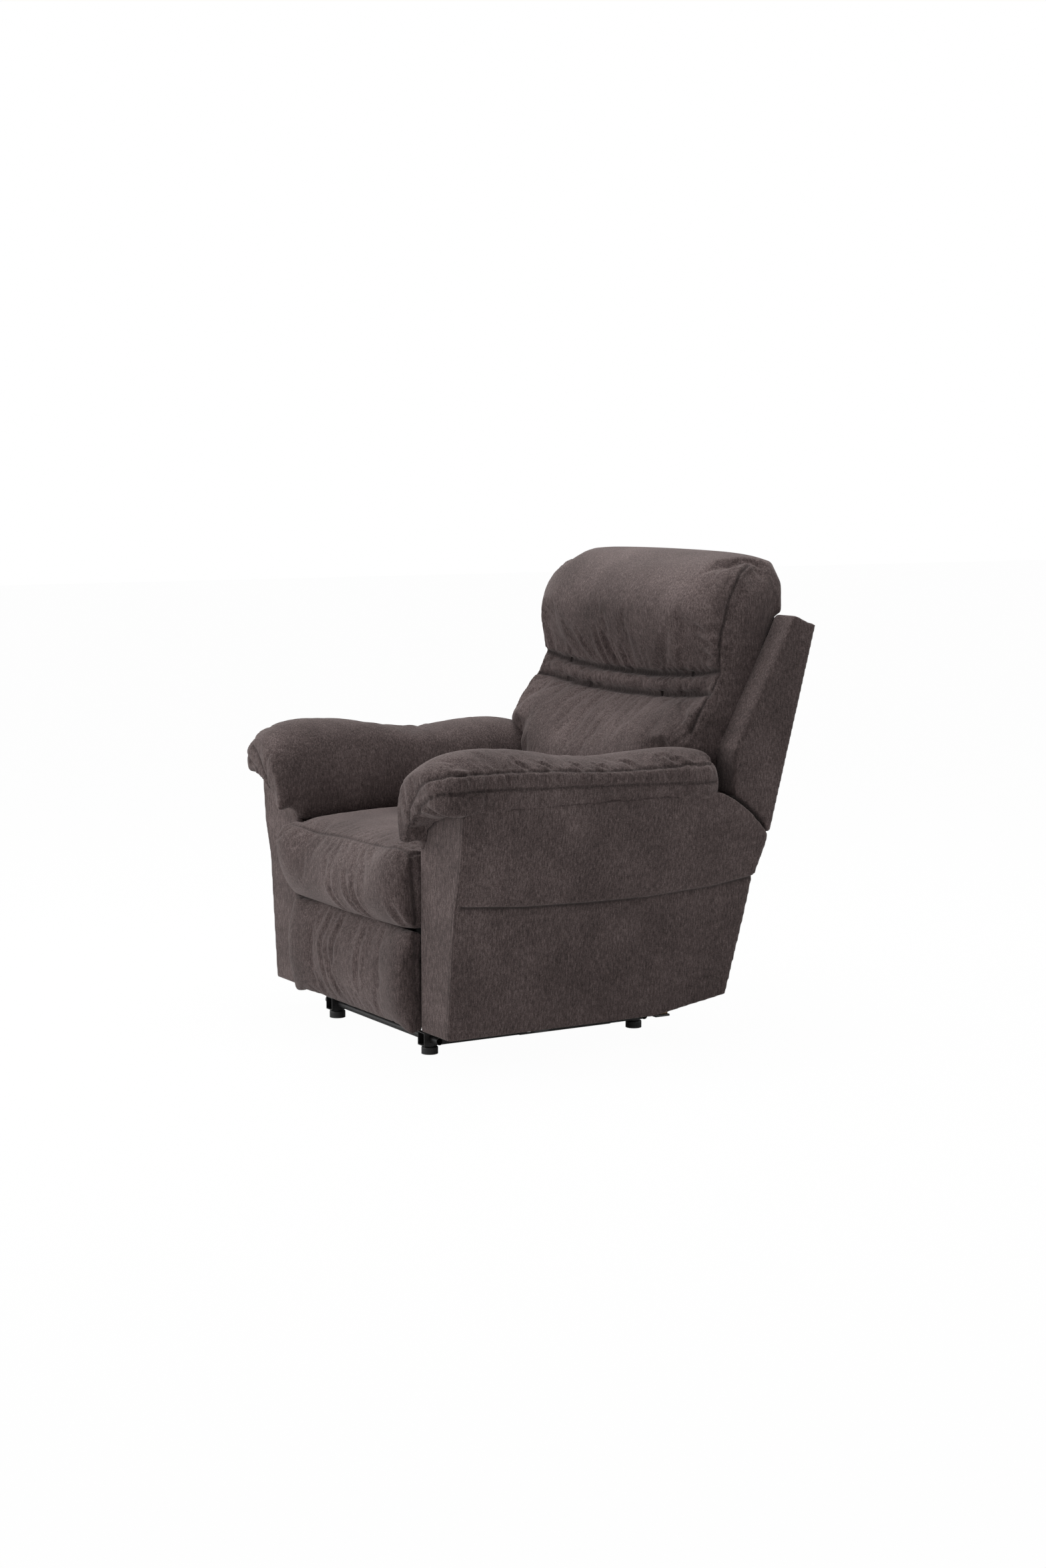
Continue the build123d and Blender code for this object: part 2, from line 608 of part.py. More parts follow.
def side_plate():
    front = SWING_PIVOT[0] - PLATE_MARGIN
    low = HINGE_Z - PLATE_MARGIN - RIVET_HEAD_RADIUS
    outline = [
        (front, PLATE_TOP_Z),
        (front, SWING_PIVOT[1] - PLATE_MARGIN),
        (GUIDE_PIVOT[0] - PLATE_MARGIN, GUIDE_PIVOT[1] - PLATE_MARGIN),
        (GUIDE_PIVOT[0] + PLATE_MARGIN, GUIDE_PIVOT[1] - PLATE_MARGIN),
        (GLIDE_BLOCK_FRONT_Y - GLIDE_BLOCK_LENGTH, low),
        (HINGE_Y + 2 * PLATE_MARGIN, low),
        (HINGE_Y + 2 * PLATE_MARGIN, HINGE_Z + 2 * PLATE_MARGIN),
        (SEAT_RAIL_REAR_Y, PLATE_TOP_Z),
    ]
    plate = side_prism(outline, PLATE_X, PLATE_X + PLATE_WALL)
    for pivot in (SWING_PIVOT, GUIDE_PIVOT, HINGE_PIVOT):
        plate -= rod_x(pivot, PIVOT_HOLE, PLATE_X, PLATE_X + PLATE_WALL)
    return plate


def glide_block(y):
    half = GLIDE_BLOCK_LENGTH / 2
    low = TRACK_BOTTOM_Z + TRACK_WALL + SOFT_GAP
    high = TRACK_TOP_Z - TRACK_WALL - SOFT_GAP
    return block(TRACK_X + TRACK_WALL + SOFT_GAP, PLATE_X, y - half, y + half, low, high)


def rivet(pivot, x_out, x_in):
    """Rivet with its head towards the middle of the chair."""
    shank = rod_x(pivot, RIVET_RADIUS, x_in - SIDE_GAP, x_out)
    head_x = x_in - SIDE_GAP
    return shank + rod_x(pivot, RIVET_HEAD_RADIUS, head_x - RIVET_HEAD_HEIGHT, head_x)


save_pair("side_plate", side_plate())
save("glide_blocks", both_sides(glide_block(y) for y in (GLIDE_BLOCK_FRONT_Y, GLIDE_BLOCK_REAR_Y)))
plate_out = PLATE_X + PLATE_WALL
save(
    "plate_rivets",
    both_sides(rivet(p, plate_out, LINK_OUTER_X - LINK_WALL) for p in (SWING_PIVOT, GUIDE_PIVOT)),
)

# Back hinge pins: through the side plates and the back brackets outside them
BRACKET_OUT_X = STILE_OUT_X + BRACKET_WALL
save("back_hinge_pins", both_sides([rivet(HINGE_PIVOT, BRACKET_OUT_X, PLATE_X)]))

# Seat frame: side rails on the plates, front and rear rails between them
SEAT_FRAME_FRONT_Y = SEAT_RAIL_FRONT_Y - SEAT_RAIL_DEPTH / 2
SEAT_FRAME_REAR_Y = SEAT_RAIL_REAR_Y + SEAT_RAIL_DEPTH / 2
side_rail = block(
    SEAT_SIDE_RAIL_IN_X,
    PLATE_X + PLATE_WALL,
    SEAT_FRAME_FRONT_Y,
    SEAT_FRAME_REAR_Y,
    PLATE_TOP_Z,
    SEAT_RAIL_TOP_Z,
)
save("seat_side_rails", both_sides([side_rail]))


def seat_cross_rail(y):
    return block(
        -SEAT_SIDE_RAIL_IN_X,
        SEAT_SIDE_RAIL_IN_X,
        y - SEAT_RAIL_DEPTH / 2,
        y + SEAT_RAIL_DEPTH / 2,
        PLATE_TOP_Z,
        SEAT_RAIL_TOP_Z,
    )


save("seat_cross_rails", solids_of(seat_cross_rail(y) for y in (SEAT_RAIL_FRONT_Y, SEAT_RAIL_REAR_Y)))


# Sinuous springs from the front rail to the rear rail, each end under a clip
def sinuous_spring(x):
    """Flat zigzag wire with straight ends."""
    z = SEAT_RAIL_TOP_Z + SPRING_WIRE_RADIUS + RUN_GAP
    start = SEAT_RAIL_FRONT_Y
    end = SEAT_RAIL_REAR_Y
    turns = int((end - start - 2 * SPRING_STEP) / SPRING_STEP)
    step = (end - start - 2 * SPRING_STEP) / turns
    points = [(x, start, z), (x, start + SPRING_STEP, z)]
    side = SPRING_AMPLITUDE
    for turn in range(turns):
        y = start + SPRING_STEP + turn * step
        points.extend([(x + side, y, z), (x + side, y + step, z)])
        side = -side
    points.extend([(x, end - SPRING_STEP, z), (x, end, z)])
    path = FilletPolyline(*points, radius=SPRING_BEND)
    section = Plane(origin=path @ 0, z_dir=path % 0) * Circle(SPRING_WIRE_RADIUS)
    return sweep(section, path)


def spring_clip(x, y):
    """Clip over the end of a spring, as a strap with a groove for the wire."""
    half = CLIP_WIDTH / 2
    reach = CLIP_LENGTH / 2
    groove = SPRING_WIRE_RADIUS + RUN_GAP
    groove_top = CLIP_TOP_Z - CLIP_WALL
    clip = block(x - half, x + half, y - reach, y + reach, SEAT_RAIL_TOP_Z, CLIP_TOP_Z)
    return clip - block(x - groove, x + groove, y - reach, y + reach, SEAT_RAIL_TOP_Z, groove_top)


spring_places = [(index - (SPRING_COUNT - 1) / 2) * SPRING_PITCH for index in range(SPRING_COUNT)]
save("seat_springs", solids_of(sinuous_spring(x) for x in spring_places))
save(
    "spring_clips",
    solids_of(spring_clip(x, y) for x in spring_places for y in (SEAT_RAIL_FRONT_Y, SEAT_RAIL_REAR_Y)),
)


# Seat cushion: crowned top, rolled front that hangs before the front rail
def seat_face(x, plump):
    """Side view section of the seat cushion."""
    fall = SEAT_EDGE_FALL * (1 - plump)
    rear_top = (SEAT_REAR_Y, SEAT_SEAM_Z - SEAT_REAR_DROP - fall)
    seam = (SEAT_SEAM_Y + fall, SEAT_SEAM_Z - fall)
    crown = ((SEAT_REAR_Y + SEAT_SEAM_Y) / 2, SEAT_SEAM_Z - 2 * fall + SEAT_CROWN * plump)
    roll_foot = (SEAT_SEAM_Y + fall, SEAT_ROLL_BOTTOM)
    roll_z = (SEAT_SEAM_Z + SEAT_ROLL_BOTTOM) / 2 + SEAT_CROWN
    roll = (SEAT_SEAM_Y - SEAT_ROLL * (SEAT_SLACK + (1 - SEAT_SLACK) * plump), roll_z)
    back_of_roll = SEAT_FRAME_FRONT_Y - SOFT_GAP
    under = [
        roll_foot,
        (back_of_roll, SEAT_ROLL_BOTTOM),
        (back_of_roll, SEAT_BASE_Z),
        (SEAT_REAR_Y, SEAT_BASE_Z),
        rear_top,
    ]
    edges = [ThreePointArc(rear_top, crown, seam), ThreePointArc(seam, roll, roll_foot)]
    edges.extend(Line(a, b) for a, b in zip(under, under[1:]))
    return Plane.YZ.offset(x) * make_face(edges)


save("seat_cushion", cushion(seat_face, SEAT_HALF_WIDTH, SEAT_STATIONS))


# Back frame: stiles on steel brackets, rails across, webbing over the stiles
def back_bracket():
    """Flat steel arm from the hinge to the stile's outer face."""
    foot_low = back_point(-BACK_STILE_FOOT, STILE_BACK)
    foot_high = back_point(0, STILE_BACK)
    front_high = back_point(0, STILE_FRONT)
    outline = [
        (HINGE_Y - PLATE_MARGIN, HINGE_Z - PLATE_MARGIN),
        (HINGE_Y + PLATE_MARGIN, HINGE_Z - PLATE_MARGIN),
        foot_low,
        foot_high,
        front_high,
        back_point(-BACK_STILE_FOOT * 0.6, STILE_FRONT),
        (HINGE_Y - PLATE_MARGIN, HINGE_Z + PLATE_MARGIN),
    ]
    plate = side_prism(outline, STILE_OUT_X, BRACKET_OUT_X)
    return plate - rod_x(HINGE_PIVOT, PIVOT_HOLE, STILE_OUT_X, BRACKET_OUT_X)


stile = back_block(STILE_IN_X, STILE_OUT_X, -BACK_STILE_FOOT, BACK_WING_TOP, STILE_BACK, STILE_FRONT)
save("back_brackets", both_sides([back_bracket()]))
save("back_stiles", both_sides([stile]))


def back_rail(rise):
    high = rise + BACK_RAIL_HEIGHT
    return back_block(-WING_IN_X, WING_IN_X, rise, high, BACK_PANEL_WALL, STILE_BACK)


save("back_top_rail", back_rail(BACK_WING_TOP - BACK_RAIL_HEIGHT))
save("back_lower_rail", back_rail(BACK_RAIL_HEIGHT / 2))


def web_strap(index):
    span = BACK_WING_TOP - WEB_WIDTH
    rise = span * index / (WEB_COUNT - 1)
    front = STILE_FRONT + WEB_WALL
    return back_block(-STILE_OUT_X, STILE_OUT_X, rise, rise + WEB_WIDTH, STILE_FRONT, front)


save("back_webbing", solids_of(web_strap(index) for index in range(WEB_COUNT)))


# Outer back: a padded panel from wing to wing, a skirt between the arms, and two wings
panel = back_block(-BACK_HALF_WIDTH, BACK_HALF_WIDTH, 0, BACK_WING_TOP, 0, BACK_PANEL_WALL)
skirt = back_block(-LUMBAR_HALF_WIDTH, LUMBAR_HALF_WIDTH, -BACK_SKIRT, 0, 0, BACK_PANEL_WALL)
save("outer_back_panel", panel)
save("back_skirt", skirt)


def heel_point(radius):
    """Where the arc round the recline pole meets the front of the outer back panel."""
    start = back_point(0, BACK_PANEL_WALL)
    lean = radians(BACK_LEAN)
    off_y = start[0] - RECLINE_POLE_Y
    off_z = start[1] - RECLINE_POLE_Z
    along = off_y * sin(lean) + off_z * cos(lean)
    rise = -along + sqrt(along**2 - off_y**2 - off_z**2 + radius**2)
    return back_point(rise, BACK_PANEL_WALL)


def wing():
    """Side of the outer back: its foot is an arc that keeps its distance from the arm."""
    radius = ARM_ARC_RADIUS + BACK_GAP
    pole = (RECLINE_POLE_Y, RECLINE_POLE_Z)
    heel = heel_point(radius)
    top_rear = back_point(BACK_WING_TOP, BACK_PANEL_WALL)
    top_front = back_point(BACK_WING_TOP, WING_TOP_DEPTH)
    middle_front = (WING_MID_Y, WING_MID_Z)
    toe_z = RECLINE_POLE_Z + sqrt(radius**2 - (WING_MID_Y - RECLINE_POLE_Y) ** 2)
    toe = (WING_MID_Y, toe_z)
    toe_angle = degrees(atan2(toe_z - pole[1], WING_MID_Y - pole[0]))
    heel_angle = degrees(atan2(heel[1] - pole[1], heel[0] - pole[0]))
    arc_middle = polar(pole, radius, (toe_angle + heel_angle) / 2)
    outline = [
        Line(heel, top_rear),
        Line(top_rear, top_front),
        Line(top_front, middle_front),
        Line(middle_front, toe),
        ThreePointArc(toe, arc_middle, heel),
    ]
    return extrude(Plane.YZ.offset(WING_IN_X) * make_face(outline), amount=WING_WIDTH)


save_pair("wing", wing())


# Back cushions: lumbar cushion, padded band and head pillow, parted by sewn channels
def bow(x):
    """How far the channels rise towards the sides of the back."""
    return BAND_BOW * (x / HEAD_HALF_WIDTH) ** 2


def cushion_face(x, points, crowns):
    """Side view section on the leaning back: arcs on the crowned sides, lines elsewhere."""
    count = len(points)
    edges = []
    for index, start in enumerate(points):
        end = points[(index + 1) % count]
        first = back_point(*start)
        last = back_point(*end)
        if index in crowns:
            edges.append(ThreePointArc(first, back_point(*crowns[index]), last))
        else:
            edges.append(Line(first, last))
    return Plane.YZ.offset(x) * make_face(edges)


def swollen(depth, plump):
    """Depth of a cushion's front where it is plump by a share."""
    return CUSHION_BACK + (depth - CUSHION_BACK) * plump


def lumbar_face(x, plump):
    top = BAND_FOOT + bow(x) - SOFT_GAP
    points = [
        (-LUMBAR_FOOT, CUSHION_BACK),
        (-LUMBAR_FOOT, swollen(LUMBAR_FOOT_DEPTH, plump)),
        (top, swollen(CHANNEL_DEPTH, plump)),
        (top, CUSHION_BACK),
    ]
    crown_rise = (top - LUMBAR_FOOT) / 2 - LUMBAR_SAG
    return cushion_face(x, points, {1: (crown_rise, swollen(LUMBAR_DEPTH, plump))})


def band_face(x, plump):
    foot = BAND_FOOT + bow(x)
    top = foot + BAND_HEIGHT
    edge = swollen(CHANNEL_DEPTH, plump)
    points = [(foot, CUSHION_BACK), (foot, edge), (top, edge), (top, CUSHION_BACK)]
    return cushion_face(x, points, {1: ((foot + top) / 2, swollen(BAND_DEPTH, plump))})


def head_face(x, plump):
    foot = BAND_FOOT + BAND_HEIGHT + bow(x) + SOFT_GAP
    top = HEAD_TOP - HEAD_CORNER * (1 - plump)
    ledge = BACK_WING_TOP + SOFT_GAP
    rear = BACK_PANEL_WALL + BACK_PANEL_WALL * (1 - plump)
    points = [
        (foot, CUSHION_BACK),
        (foot, swollen(CHANNEL_DEPTH, plump)),
        (top - HEAD_ROUND, swollen(CHANNEL_DEPTH, plump)),
        (top - 2 * HEAD_ROUND, rear),
        (ledge, rear),
        (ledge, CUSHION_BACK),
    ]
    crowns = {
        1: ((foot + top) / 2 - HEAD_ROUND, swollen(HEAD_DEPTH, plump)),
        2: (top, CUSHION_BACK),
    }
    return cushion_face(x, points, crowns)


def shoulder_face(x, depth):
    """Side view section of the lumbar cushion where it widens above the arms."""
    top = BAND_FOOT + bow(x) - SOFT_GAP
    points = [
        (LUMBAR_SHOULDER_FOOT, CUSHION_BACK),
        (LUMBAR_SHOULDER_FOOT, depth),
        (top, swollen(CHANNEL_DEPTH, SHOULDER_SLACK)),
        (top, CUSHION_BACK),
    ]
    return cushion_face(x, points, {})


shoulder_mid_x = (STILE_OUT_X + HEAD_HALF_WIDTH) / 2
shoulder = loft(
    [
        shoulder_face(STILE_OUT_X, LUMBAR_SHOULDER_DEPTH),
        shoulder_face(shoulder_mid_x, LUMBAR_SHOULDER_DEPTH),
        shoulder_face(HEAD_HALF_WIDTH, LUMBAR_SHOULDER_EDGE),
    ],
    ruled=True,
)
lumbar = cushion(lumbar_face, LUMBAR_HALF_WIDTH, LUMBAR_STATIONS)
save("lumbar_cushion", lumbar + shoulder + mirror(shoulder, about=Plane.YZ))
save("back_band", cushion(band_face, HEAD_HALF_WIDTH, BAND_STATIONS))
save("head_pillow", cushion(head_face, HEAD_HALF_WIDTH, HEAD_STATIONS))


# Footrest: padded board carried by four links a side
def strap(pivots, x_out):
    """Flat link through its pivots, with a round end and a hole at each."""
    half = LINK_WIDTH / 2
    shape = rod_x(pivots[0], half, x_out - LINK_WALL, x_out)
    for start, end in zip(pivots, pivots[1:]):
        span = (end[0] - start[0], end[1] - start[1])
        length = sqrt(span[0] ** 2 + span[1] ** 2)
        across = (-span[1] / length * half, span[0] / length * half)
        corners = [
            (start[0] + across[0], start[1] + across[1]),
            (end[0] + across[0], end[1] + across[1]),
            (end[0] - across[0], end[1] - across[1]),
            (start[0] - across[0], start[1] - across[1]),
        ]
        shape += side_prism(corners, x_out - LINK_WALL, x_out)
        shape += rod_x(end, half, x_out - LINK_WALL, x_out)
    for pivot in pivots:
        shape -= rod_x(pivot, PIVOT_HOLE, x_out - LINK_WALL, x_out)
    return shape


def footrest_bracket():
    """Angle with an ear that takes the carry and tilt pivots."""
    x_out = LINK_INNER_X
    low = TILT_PIVOT[1] - LINK_WIDTH
    high = BOARD_PIVOT[1] + LINK_WIDTH
    rear = max(BOARD_PIVOT[0], TILT_PIVOT[0]) + LINK_WIDTH / 2
    ear = block(x_out - LINK_WALL, x_out, FOOTREST_BACK_Y, rear, low, high)
    flange_y = FOOTREST_BACK_Y + LINK_WALL
    angle = ear + block(x_out - 2 * LINK_WIDTH, x_out, FOOTREST_BACK_Y, flange_y, low, high)
    for pivot in (BOARD_PIVOT, TILT_PIVOT):
        angle -= rod_x(pivot, PIVOT_HOLE, x_out - LINK_WALL, x_out)
    return angle


save("swing_links", both_sides([strap([SWING_PIVOT, CARRY_PIVOT, CRANK_PIVOT], LINK_OUTER_X)]))
save("guide_links", both_sides([strap([GUIDE_PIVOT, CARRY_TAIL_PIVOT], LINK_OUTER_X)]))
carry_pivots = [CARRY_TAIL_PIVOT, CARRY_PIVOT, BOARD_PIVOT]
save("carry_links", both_sides([strap(carry_pivots, LINK_MIDDLE_X)]))
save("tilt_links", both_sides([strap([CRANK_PIVOT, TILT_PIVOT], LINK_MIDDLE_X)]))
middle_in = LINK_MIDDLE_X - LINK_WALL
inner_in = LINK_INNER_X - LINK_WALL
save(
    "carry_rivets",
    both_sides(
        [
            rivet(CARRY_PIVOT, LINK_OUTER_X, middle_in),
            rivet(CARRY_TAIL_PIVOT, LINK_OUTER_X, middle_in),
            rivet(BOARD_PIVOT, LINK_MIDDLE_X, inner_in),
        ]
    ),
)
save(
    "tilt_rivets",
    both_sides(
        [rivet(CRANK_PIVOT, LINK_OUTER_X, middle_in), rivet(TILT_PIVOT, LINK_MIDDLE_X, inner_in)]
    ),
)
tube_end = LINK_OUTER_X - LINK_WALL
torque_tube = rod_x(TORQUE_POINT, TORQUE_TUBE_RADIUS, -tube_end, tube_end)
torque_tube -= rod_x(TORQUE_POINT, TORQUE_TUBE_RADIUS - TUBE_WALL, -tube_end, tube_end)
save("torque_tube", torque_tube)
save("footrest_brackets", both_sides([footrest_bracket()]))

save(
    "footrest_board",
    block(
        -FOOTREST_HALF_WIDTH + FOOTREST_BOARD_MARGIN,
        FOOTREST_HALF_WIDTH - FOOTREST_BOARD_MARGIN,
        FOOTREST_FRONT_Y,
        FOOTREST_BACK_Y,
        FOOTREST_BOTTOM_Z + FOOTREST_BOARD_MARGIN,
        FOOTREST_TOP_Z - FOOTREST_BOARD_MARGIN,
    ),
)


def pad_face(x, plump):
    """Side view section of the footrest pad."""
    back = FOOTREST_FRONT_Y - SOFT_GAP
    edge = back - FOOTREST_EDGE - FOOTREST_EDGE * plump
    points = [
        (back, FOOTREST_BOTTOM_Z),
        (edge, FOOTREST_BOTTOM_Z + FOOTREST_EDGE),
        (edge, FOOTREST_TOP_Z - FOOTREST_EDGE),
        (back, FOOTREST_TOP_Z),
    ]
    swell = 2 * FOOTREST_EDGE + (FOOTREST_CROWN - 2 * FOOTREST_EDGE) * plump
    crown = (back - swell, (FOOTREST_BOTTOM_Z + FOOTREST_TOP_Z) / 2)
    edges = [
        Line(points[0], points[1]),
        ThreePointArc(points[1], crown, points[2]),
        Line(points[2], points[3]),
        Line(points[3], points[0]),
    ]
    return Plane.YZ.offset(x) * make_face(edges)


save("footrest_pad", cushion(pad_face, FOOTREST_HALF_WIDTH, FOOTREST_STATIONS))


# Release: a recessed paddle in the right arm's upper panel, with its pin, spring and cable
RELEASE_MID_Z = ARM_HIP_Z + (ARM_TOP_Z - ARM_HIP_Z) / 2
FLARE = degrees(atan2(ARM_SHOULDER_X - ARM_HIP_X, ARM_TOP_Z - ARM_HIP_Z))
RELEASE_FACE_X = (ARM_SHOULDER_X + ARM_HIP_X) / 2
release_plane = Plane(
    origin=(-RELEASE_FACE_X, RELEASE_Y, RELEASE_MID_Z),
    x_dir=(0, 1, 0),
    z_dir=(-cos(radians(FLARE)), 0, -sin(radians(FLARE))),
)


def release_box(length, height, low, high, shift=0.0):
    """Box on the arm's outer face, from a depth low to a height high above it."""
    return release_plane * Pos(shift, 0, (low + high) / 2) * Box(length, height, high - low)


def release_bezel():
    flange = 2 * RELEASE_FLANGE
    bezel = release_box(RELEASE_LENGTH + flange, RELEASE_HEIGHT + flange, 0, RELEASE_FLANGE_WALL)
    bezel += release_box(RELEASE_LENGTH, RELEASE_HEIGHT, -RELEASE_DEPTH, 0)
    wall = 2 * RELEASE_WALL
    bezel -= release_box(
        RELEASE_LENGTH - wall, RELEASE_HEIGHT - wall, -RELEASE_DEPTH + RELEASE_WALL, RELEASE_FLANGE_WALL
    )
    return bezel


PADDLE_HEIGHT = RELEASE_HEIGHT - 2 * RELEASE_WALL - 2 * BRACKET_WALL
PIN_SHIFT = -RELEASE_LENGTH / 2 + RELEASE_WALL + PADDLE_WALL
PIN_DEPTH = -PADDLE_WALL


def pin_bar(radius, half_height):
    place = release_plane * Pos(PIN_SHIFT, 0, PIN_DEPTH) * Rot(90, 0, 0)
    return place * Cylinder(radius, 2 * half_height)


def release_paddle():
    reach = PADDLE_LENGTH - PADDLE_WALL
    low = PIN_DEPTH - PADDLE_WALL / 2
    plate = release_box(reach, PADDLE_HEIGHT, low, low + PADDLE_WALL, PIN_SHIFT + reach / 2)
    knuckle = pin_bar(PADDLE_KNUCKLE_RADIUS, PADDLE_HEIGHT / 2)
    return plate + knuckle - pin_bar(PADDLE_PIN_RADIUS + RUN_GAP, RELEASE_HEIGHT)


pin_half = RELEASE_HEIGHT / 2 - RELEASE_WALL
spring_ring = pin_bar(PADDLE_KNUCKLE_RADIUS, pin_half - SOFT_GAP)
spring_ring -= pin_bar(PADDLE_PIN_RADIUS + RUN_GAP, RELEASE_HEIGHT)
spring_ring -= release_box(RELEASE_LENGTH, PADDLE_HEIGHT + 2 * SOFT_GAP, -RELEASE_DEPTH, RELEASE_DEPTH)
save("release_bezel", release_bezel())
save("release_pin", pin_bar(PADDLE_PIN_RADIUS, pin_half))
save("release_spring", solids_of([spring_ring]))
save("release_paddle", release_paddle())

right_upper = mirror(upper_panel, about=Plane.YZ)
right_upper -= release_box(RELEASE_LENGTH, RELEASE_HEIGHT, -2 * RELEASE_DEPTH, RELEASE_DEPTH)
save("left_arm_upper_panel", upper_panel)
save("right_arm_upper_panel", right_upper)

cup_back = release_plane.origin - release_plane.z_dir * RELEASE_DEPTH
drop_z = cup_back.Z + (-CABLE_DROP_X - cup_back.X) * tan(radians(FLARE))
cable_points = [
    (cup_back.X, RELEASE_Y, cup_back.Z),
    (-CABLE_DROP_X, RELEASE_Y, drop_z),
    (-CABLE_DROP_X, RELEASE_Y, CABLE_EXIT_Z),
    (-TRACK_X, RELEASE_Y, CABLE_EXIT_Z),
]
cable_path = FilletPolyline(*cable_points, radius=CABLE_BEND)
cable_start = Plane(origin=cable_path @ 0, z_dir=cable_path % 0)
save("release_cable", sweep(cable_start * Circle(CABLE_RADIUS), cable_path))
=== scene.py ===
import math

import bpy
import numpy as np
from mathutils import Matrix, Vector
from mathutils.bvhtree import BVHTree
from mathutils.kdtree import KDTree


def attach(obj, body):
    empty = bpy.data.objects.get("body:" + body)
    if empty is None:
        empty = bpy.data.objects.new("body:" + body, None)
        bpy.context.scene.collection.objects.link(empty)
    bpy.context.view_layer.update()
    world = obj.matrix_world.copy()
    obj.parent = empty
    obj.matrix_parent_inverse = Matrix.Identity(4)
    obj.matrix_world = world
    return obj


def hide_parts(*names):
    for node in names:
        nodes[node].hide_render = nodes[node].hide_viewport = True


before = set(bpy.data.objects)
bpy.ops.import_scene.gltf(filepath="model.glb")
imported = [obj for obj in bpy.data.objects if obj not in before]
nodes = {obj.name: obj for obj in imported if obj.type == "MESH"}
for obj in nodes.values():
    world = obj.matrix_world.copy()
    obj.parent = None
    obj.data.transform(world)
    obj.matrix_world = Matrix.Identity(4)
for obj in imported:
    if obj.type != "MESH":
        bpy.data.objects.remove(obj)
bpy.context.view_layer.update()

scene = bpy.context.scene
bpy.ops.object.select_all(action="DESELECT")


# The camera stands off the chair's front left corner, a little above the arms, as a studio
# camera on a tripod does.
CAMERA_PLACE = (4.82533, -2.87676, 1.19135)
CAMERA_TURN = math.radians(59.198)
CAMERA_DIP = math.radians(6.937)


def turned_to(backward):
    """Rotation of a camera or lamp whose back points along a vector."""
    return backward.to_track_quat("Z", "Y").to_euler()


level = math.cos(CAMERA_DIP)
backward = Vector((math.sin(CAMERA_TURN) * level, -math.cos(CAMERA_TURN) * level, math.sin(CAMERA_DIP)))
bpy.ops.object.camera_add(location=CAMERA_PLACE, rotation=turned_to(backward))
camera = bpy.context.object
camera.data.sensor_fit = "VERTICAL"
camera.data.sensor_height = 36
camera.data.lens = 60.66
scene.camera = camera
scene.view_settings.view_transform = "Standard"


# Studio: a white floor that runs out of sight, a white surround, and two large soft lights, one in
# front of the chair and one over it.
FLOOR_SIZE = 40
FLOOR_GLOW = 0.975


class Tone:
    """One socket of a node tree, for arithmetic on shader values."""

    def __init__(self, tree, socket=None):
        self.tree = tree
        self.socket = socket

    def node(self, kind, settings, sockets, output=0):
        """Adds a node with its settings, then the values or links of its sockets."""
        made = self.tree.nodes.new(kind)
        for name, value in settings.items():
            if name == "stops":
                ramp = made.color_ramp
                for _ in value[2:]:
                    ramp.elements.new(0.5)
                for element, (place, colour) in zip(ramp.elements, value):
                    element.position = place
                    element.color = (*colour, 1)
            else:
                setattr(made, name, value)
        for name, value in sockets.items():
            if isinstance(value, Tone):
                value.feed(made.inputs[name])
            else:
                made.inputs[name].default_value = value
        return Tone(self.tree, made.outputs[output])

    def feed(self, socket):
        """Links this value to the input of another node."""
        self.tree.links.new(self.socket, socket)

    def maths(self, operation, first, second):
        return self.node("ShaderNodeMath", {"operation": operation}, {0: first, 1: second})

    def __add__(self, other):
        return self.maths("ADD", self, other)

    __radd__ = __add__

    def __sub__(self, other):
        return self.maths("SUBTRACT", self, other)

    def __rsub__(self, other):
        return self.maths("SUBTRACT", other, self)

    def __mul__(self, other):
        return self.maths("MULTIPLY", self, other)

    __rmul__ = __mul__


def new_finish(name):
    """A material with only its Principled shader, and a Tone to add nodes with."""
    finish = bpy.data.materials.new(name)
    finish.use_nodes = True
    return finish, finish.node_tree.nodes["Principled BSDF"], Tone(finish.node_tree)


bpy.ops.mesh.primitive_plane_add(size=FLOOR_SIZE)
floor = bpy.context.object
floor.name = "studio_floor"
floor_finish, shader, tone = new_finish("studio_white")
shader.inputs["Base Color"].default_value = (0.9, 0.9, 0.9, 1)
shader.inputs["Roughness"].default_value = 0.9
camera_ray = tone.node("ShaderNodeLightPath", {}, {}, "Is Camera Ray")
glow = tone.node("ShaderNodeEmission", {}, {"Color": (1, 1, 1, 1), "Strength": 1.0})
lit = Tone(tone.tree, shader.outputs[0])
shown = tone.node("ShaderNodeMixShader", {}, {0: camera_ray * FLOOR_GLOW, 1: lit, 2: glow})
shown.feed(tone.tree.nodes["Material Output"].inputs[0])
floor.data.materials.append(floor_finish)

scene.world = bpy.data.worlds.new("studio_surround")
scene.world.use_nodes = True
surround = scene.world.node_tree.nodes["Background"]
surround.inputs["Color"].default_value = (1, 1, 1, 1)
tone = Tone(scene.world.node_tree)
camera_ray = tone.node("ShaderNodeLightPath", {}, {}, "Is Camera Ray")
glossy_ray = tone.node("ShaderNodeLightPath", {}, {}, "Is Glossy Ray")
(camera_ray * 0.55 + glossy_ray * 0.35 + 0.45).feed(surround.inputs["Strength"])

for name, place, aim, size, power in (
    ("front_softbox", (-1.4, -3.0, 1.5), (0, 0, 0.4), 2.2, 51),
    ("top_softbox", (-0.3, 0.4, 3.4), (0, -0.1, 0.5), 2.6, 80),
):
    rotation = turned_to(Vector(place) - Vector(aim))
    bpy.ops.object.light_add(type="AREA", location=place, rotation=rotation)
    lamp = bpy.context.object
    lamp.name = name
    lamp.data.size = size
    lamp.data.energy = power


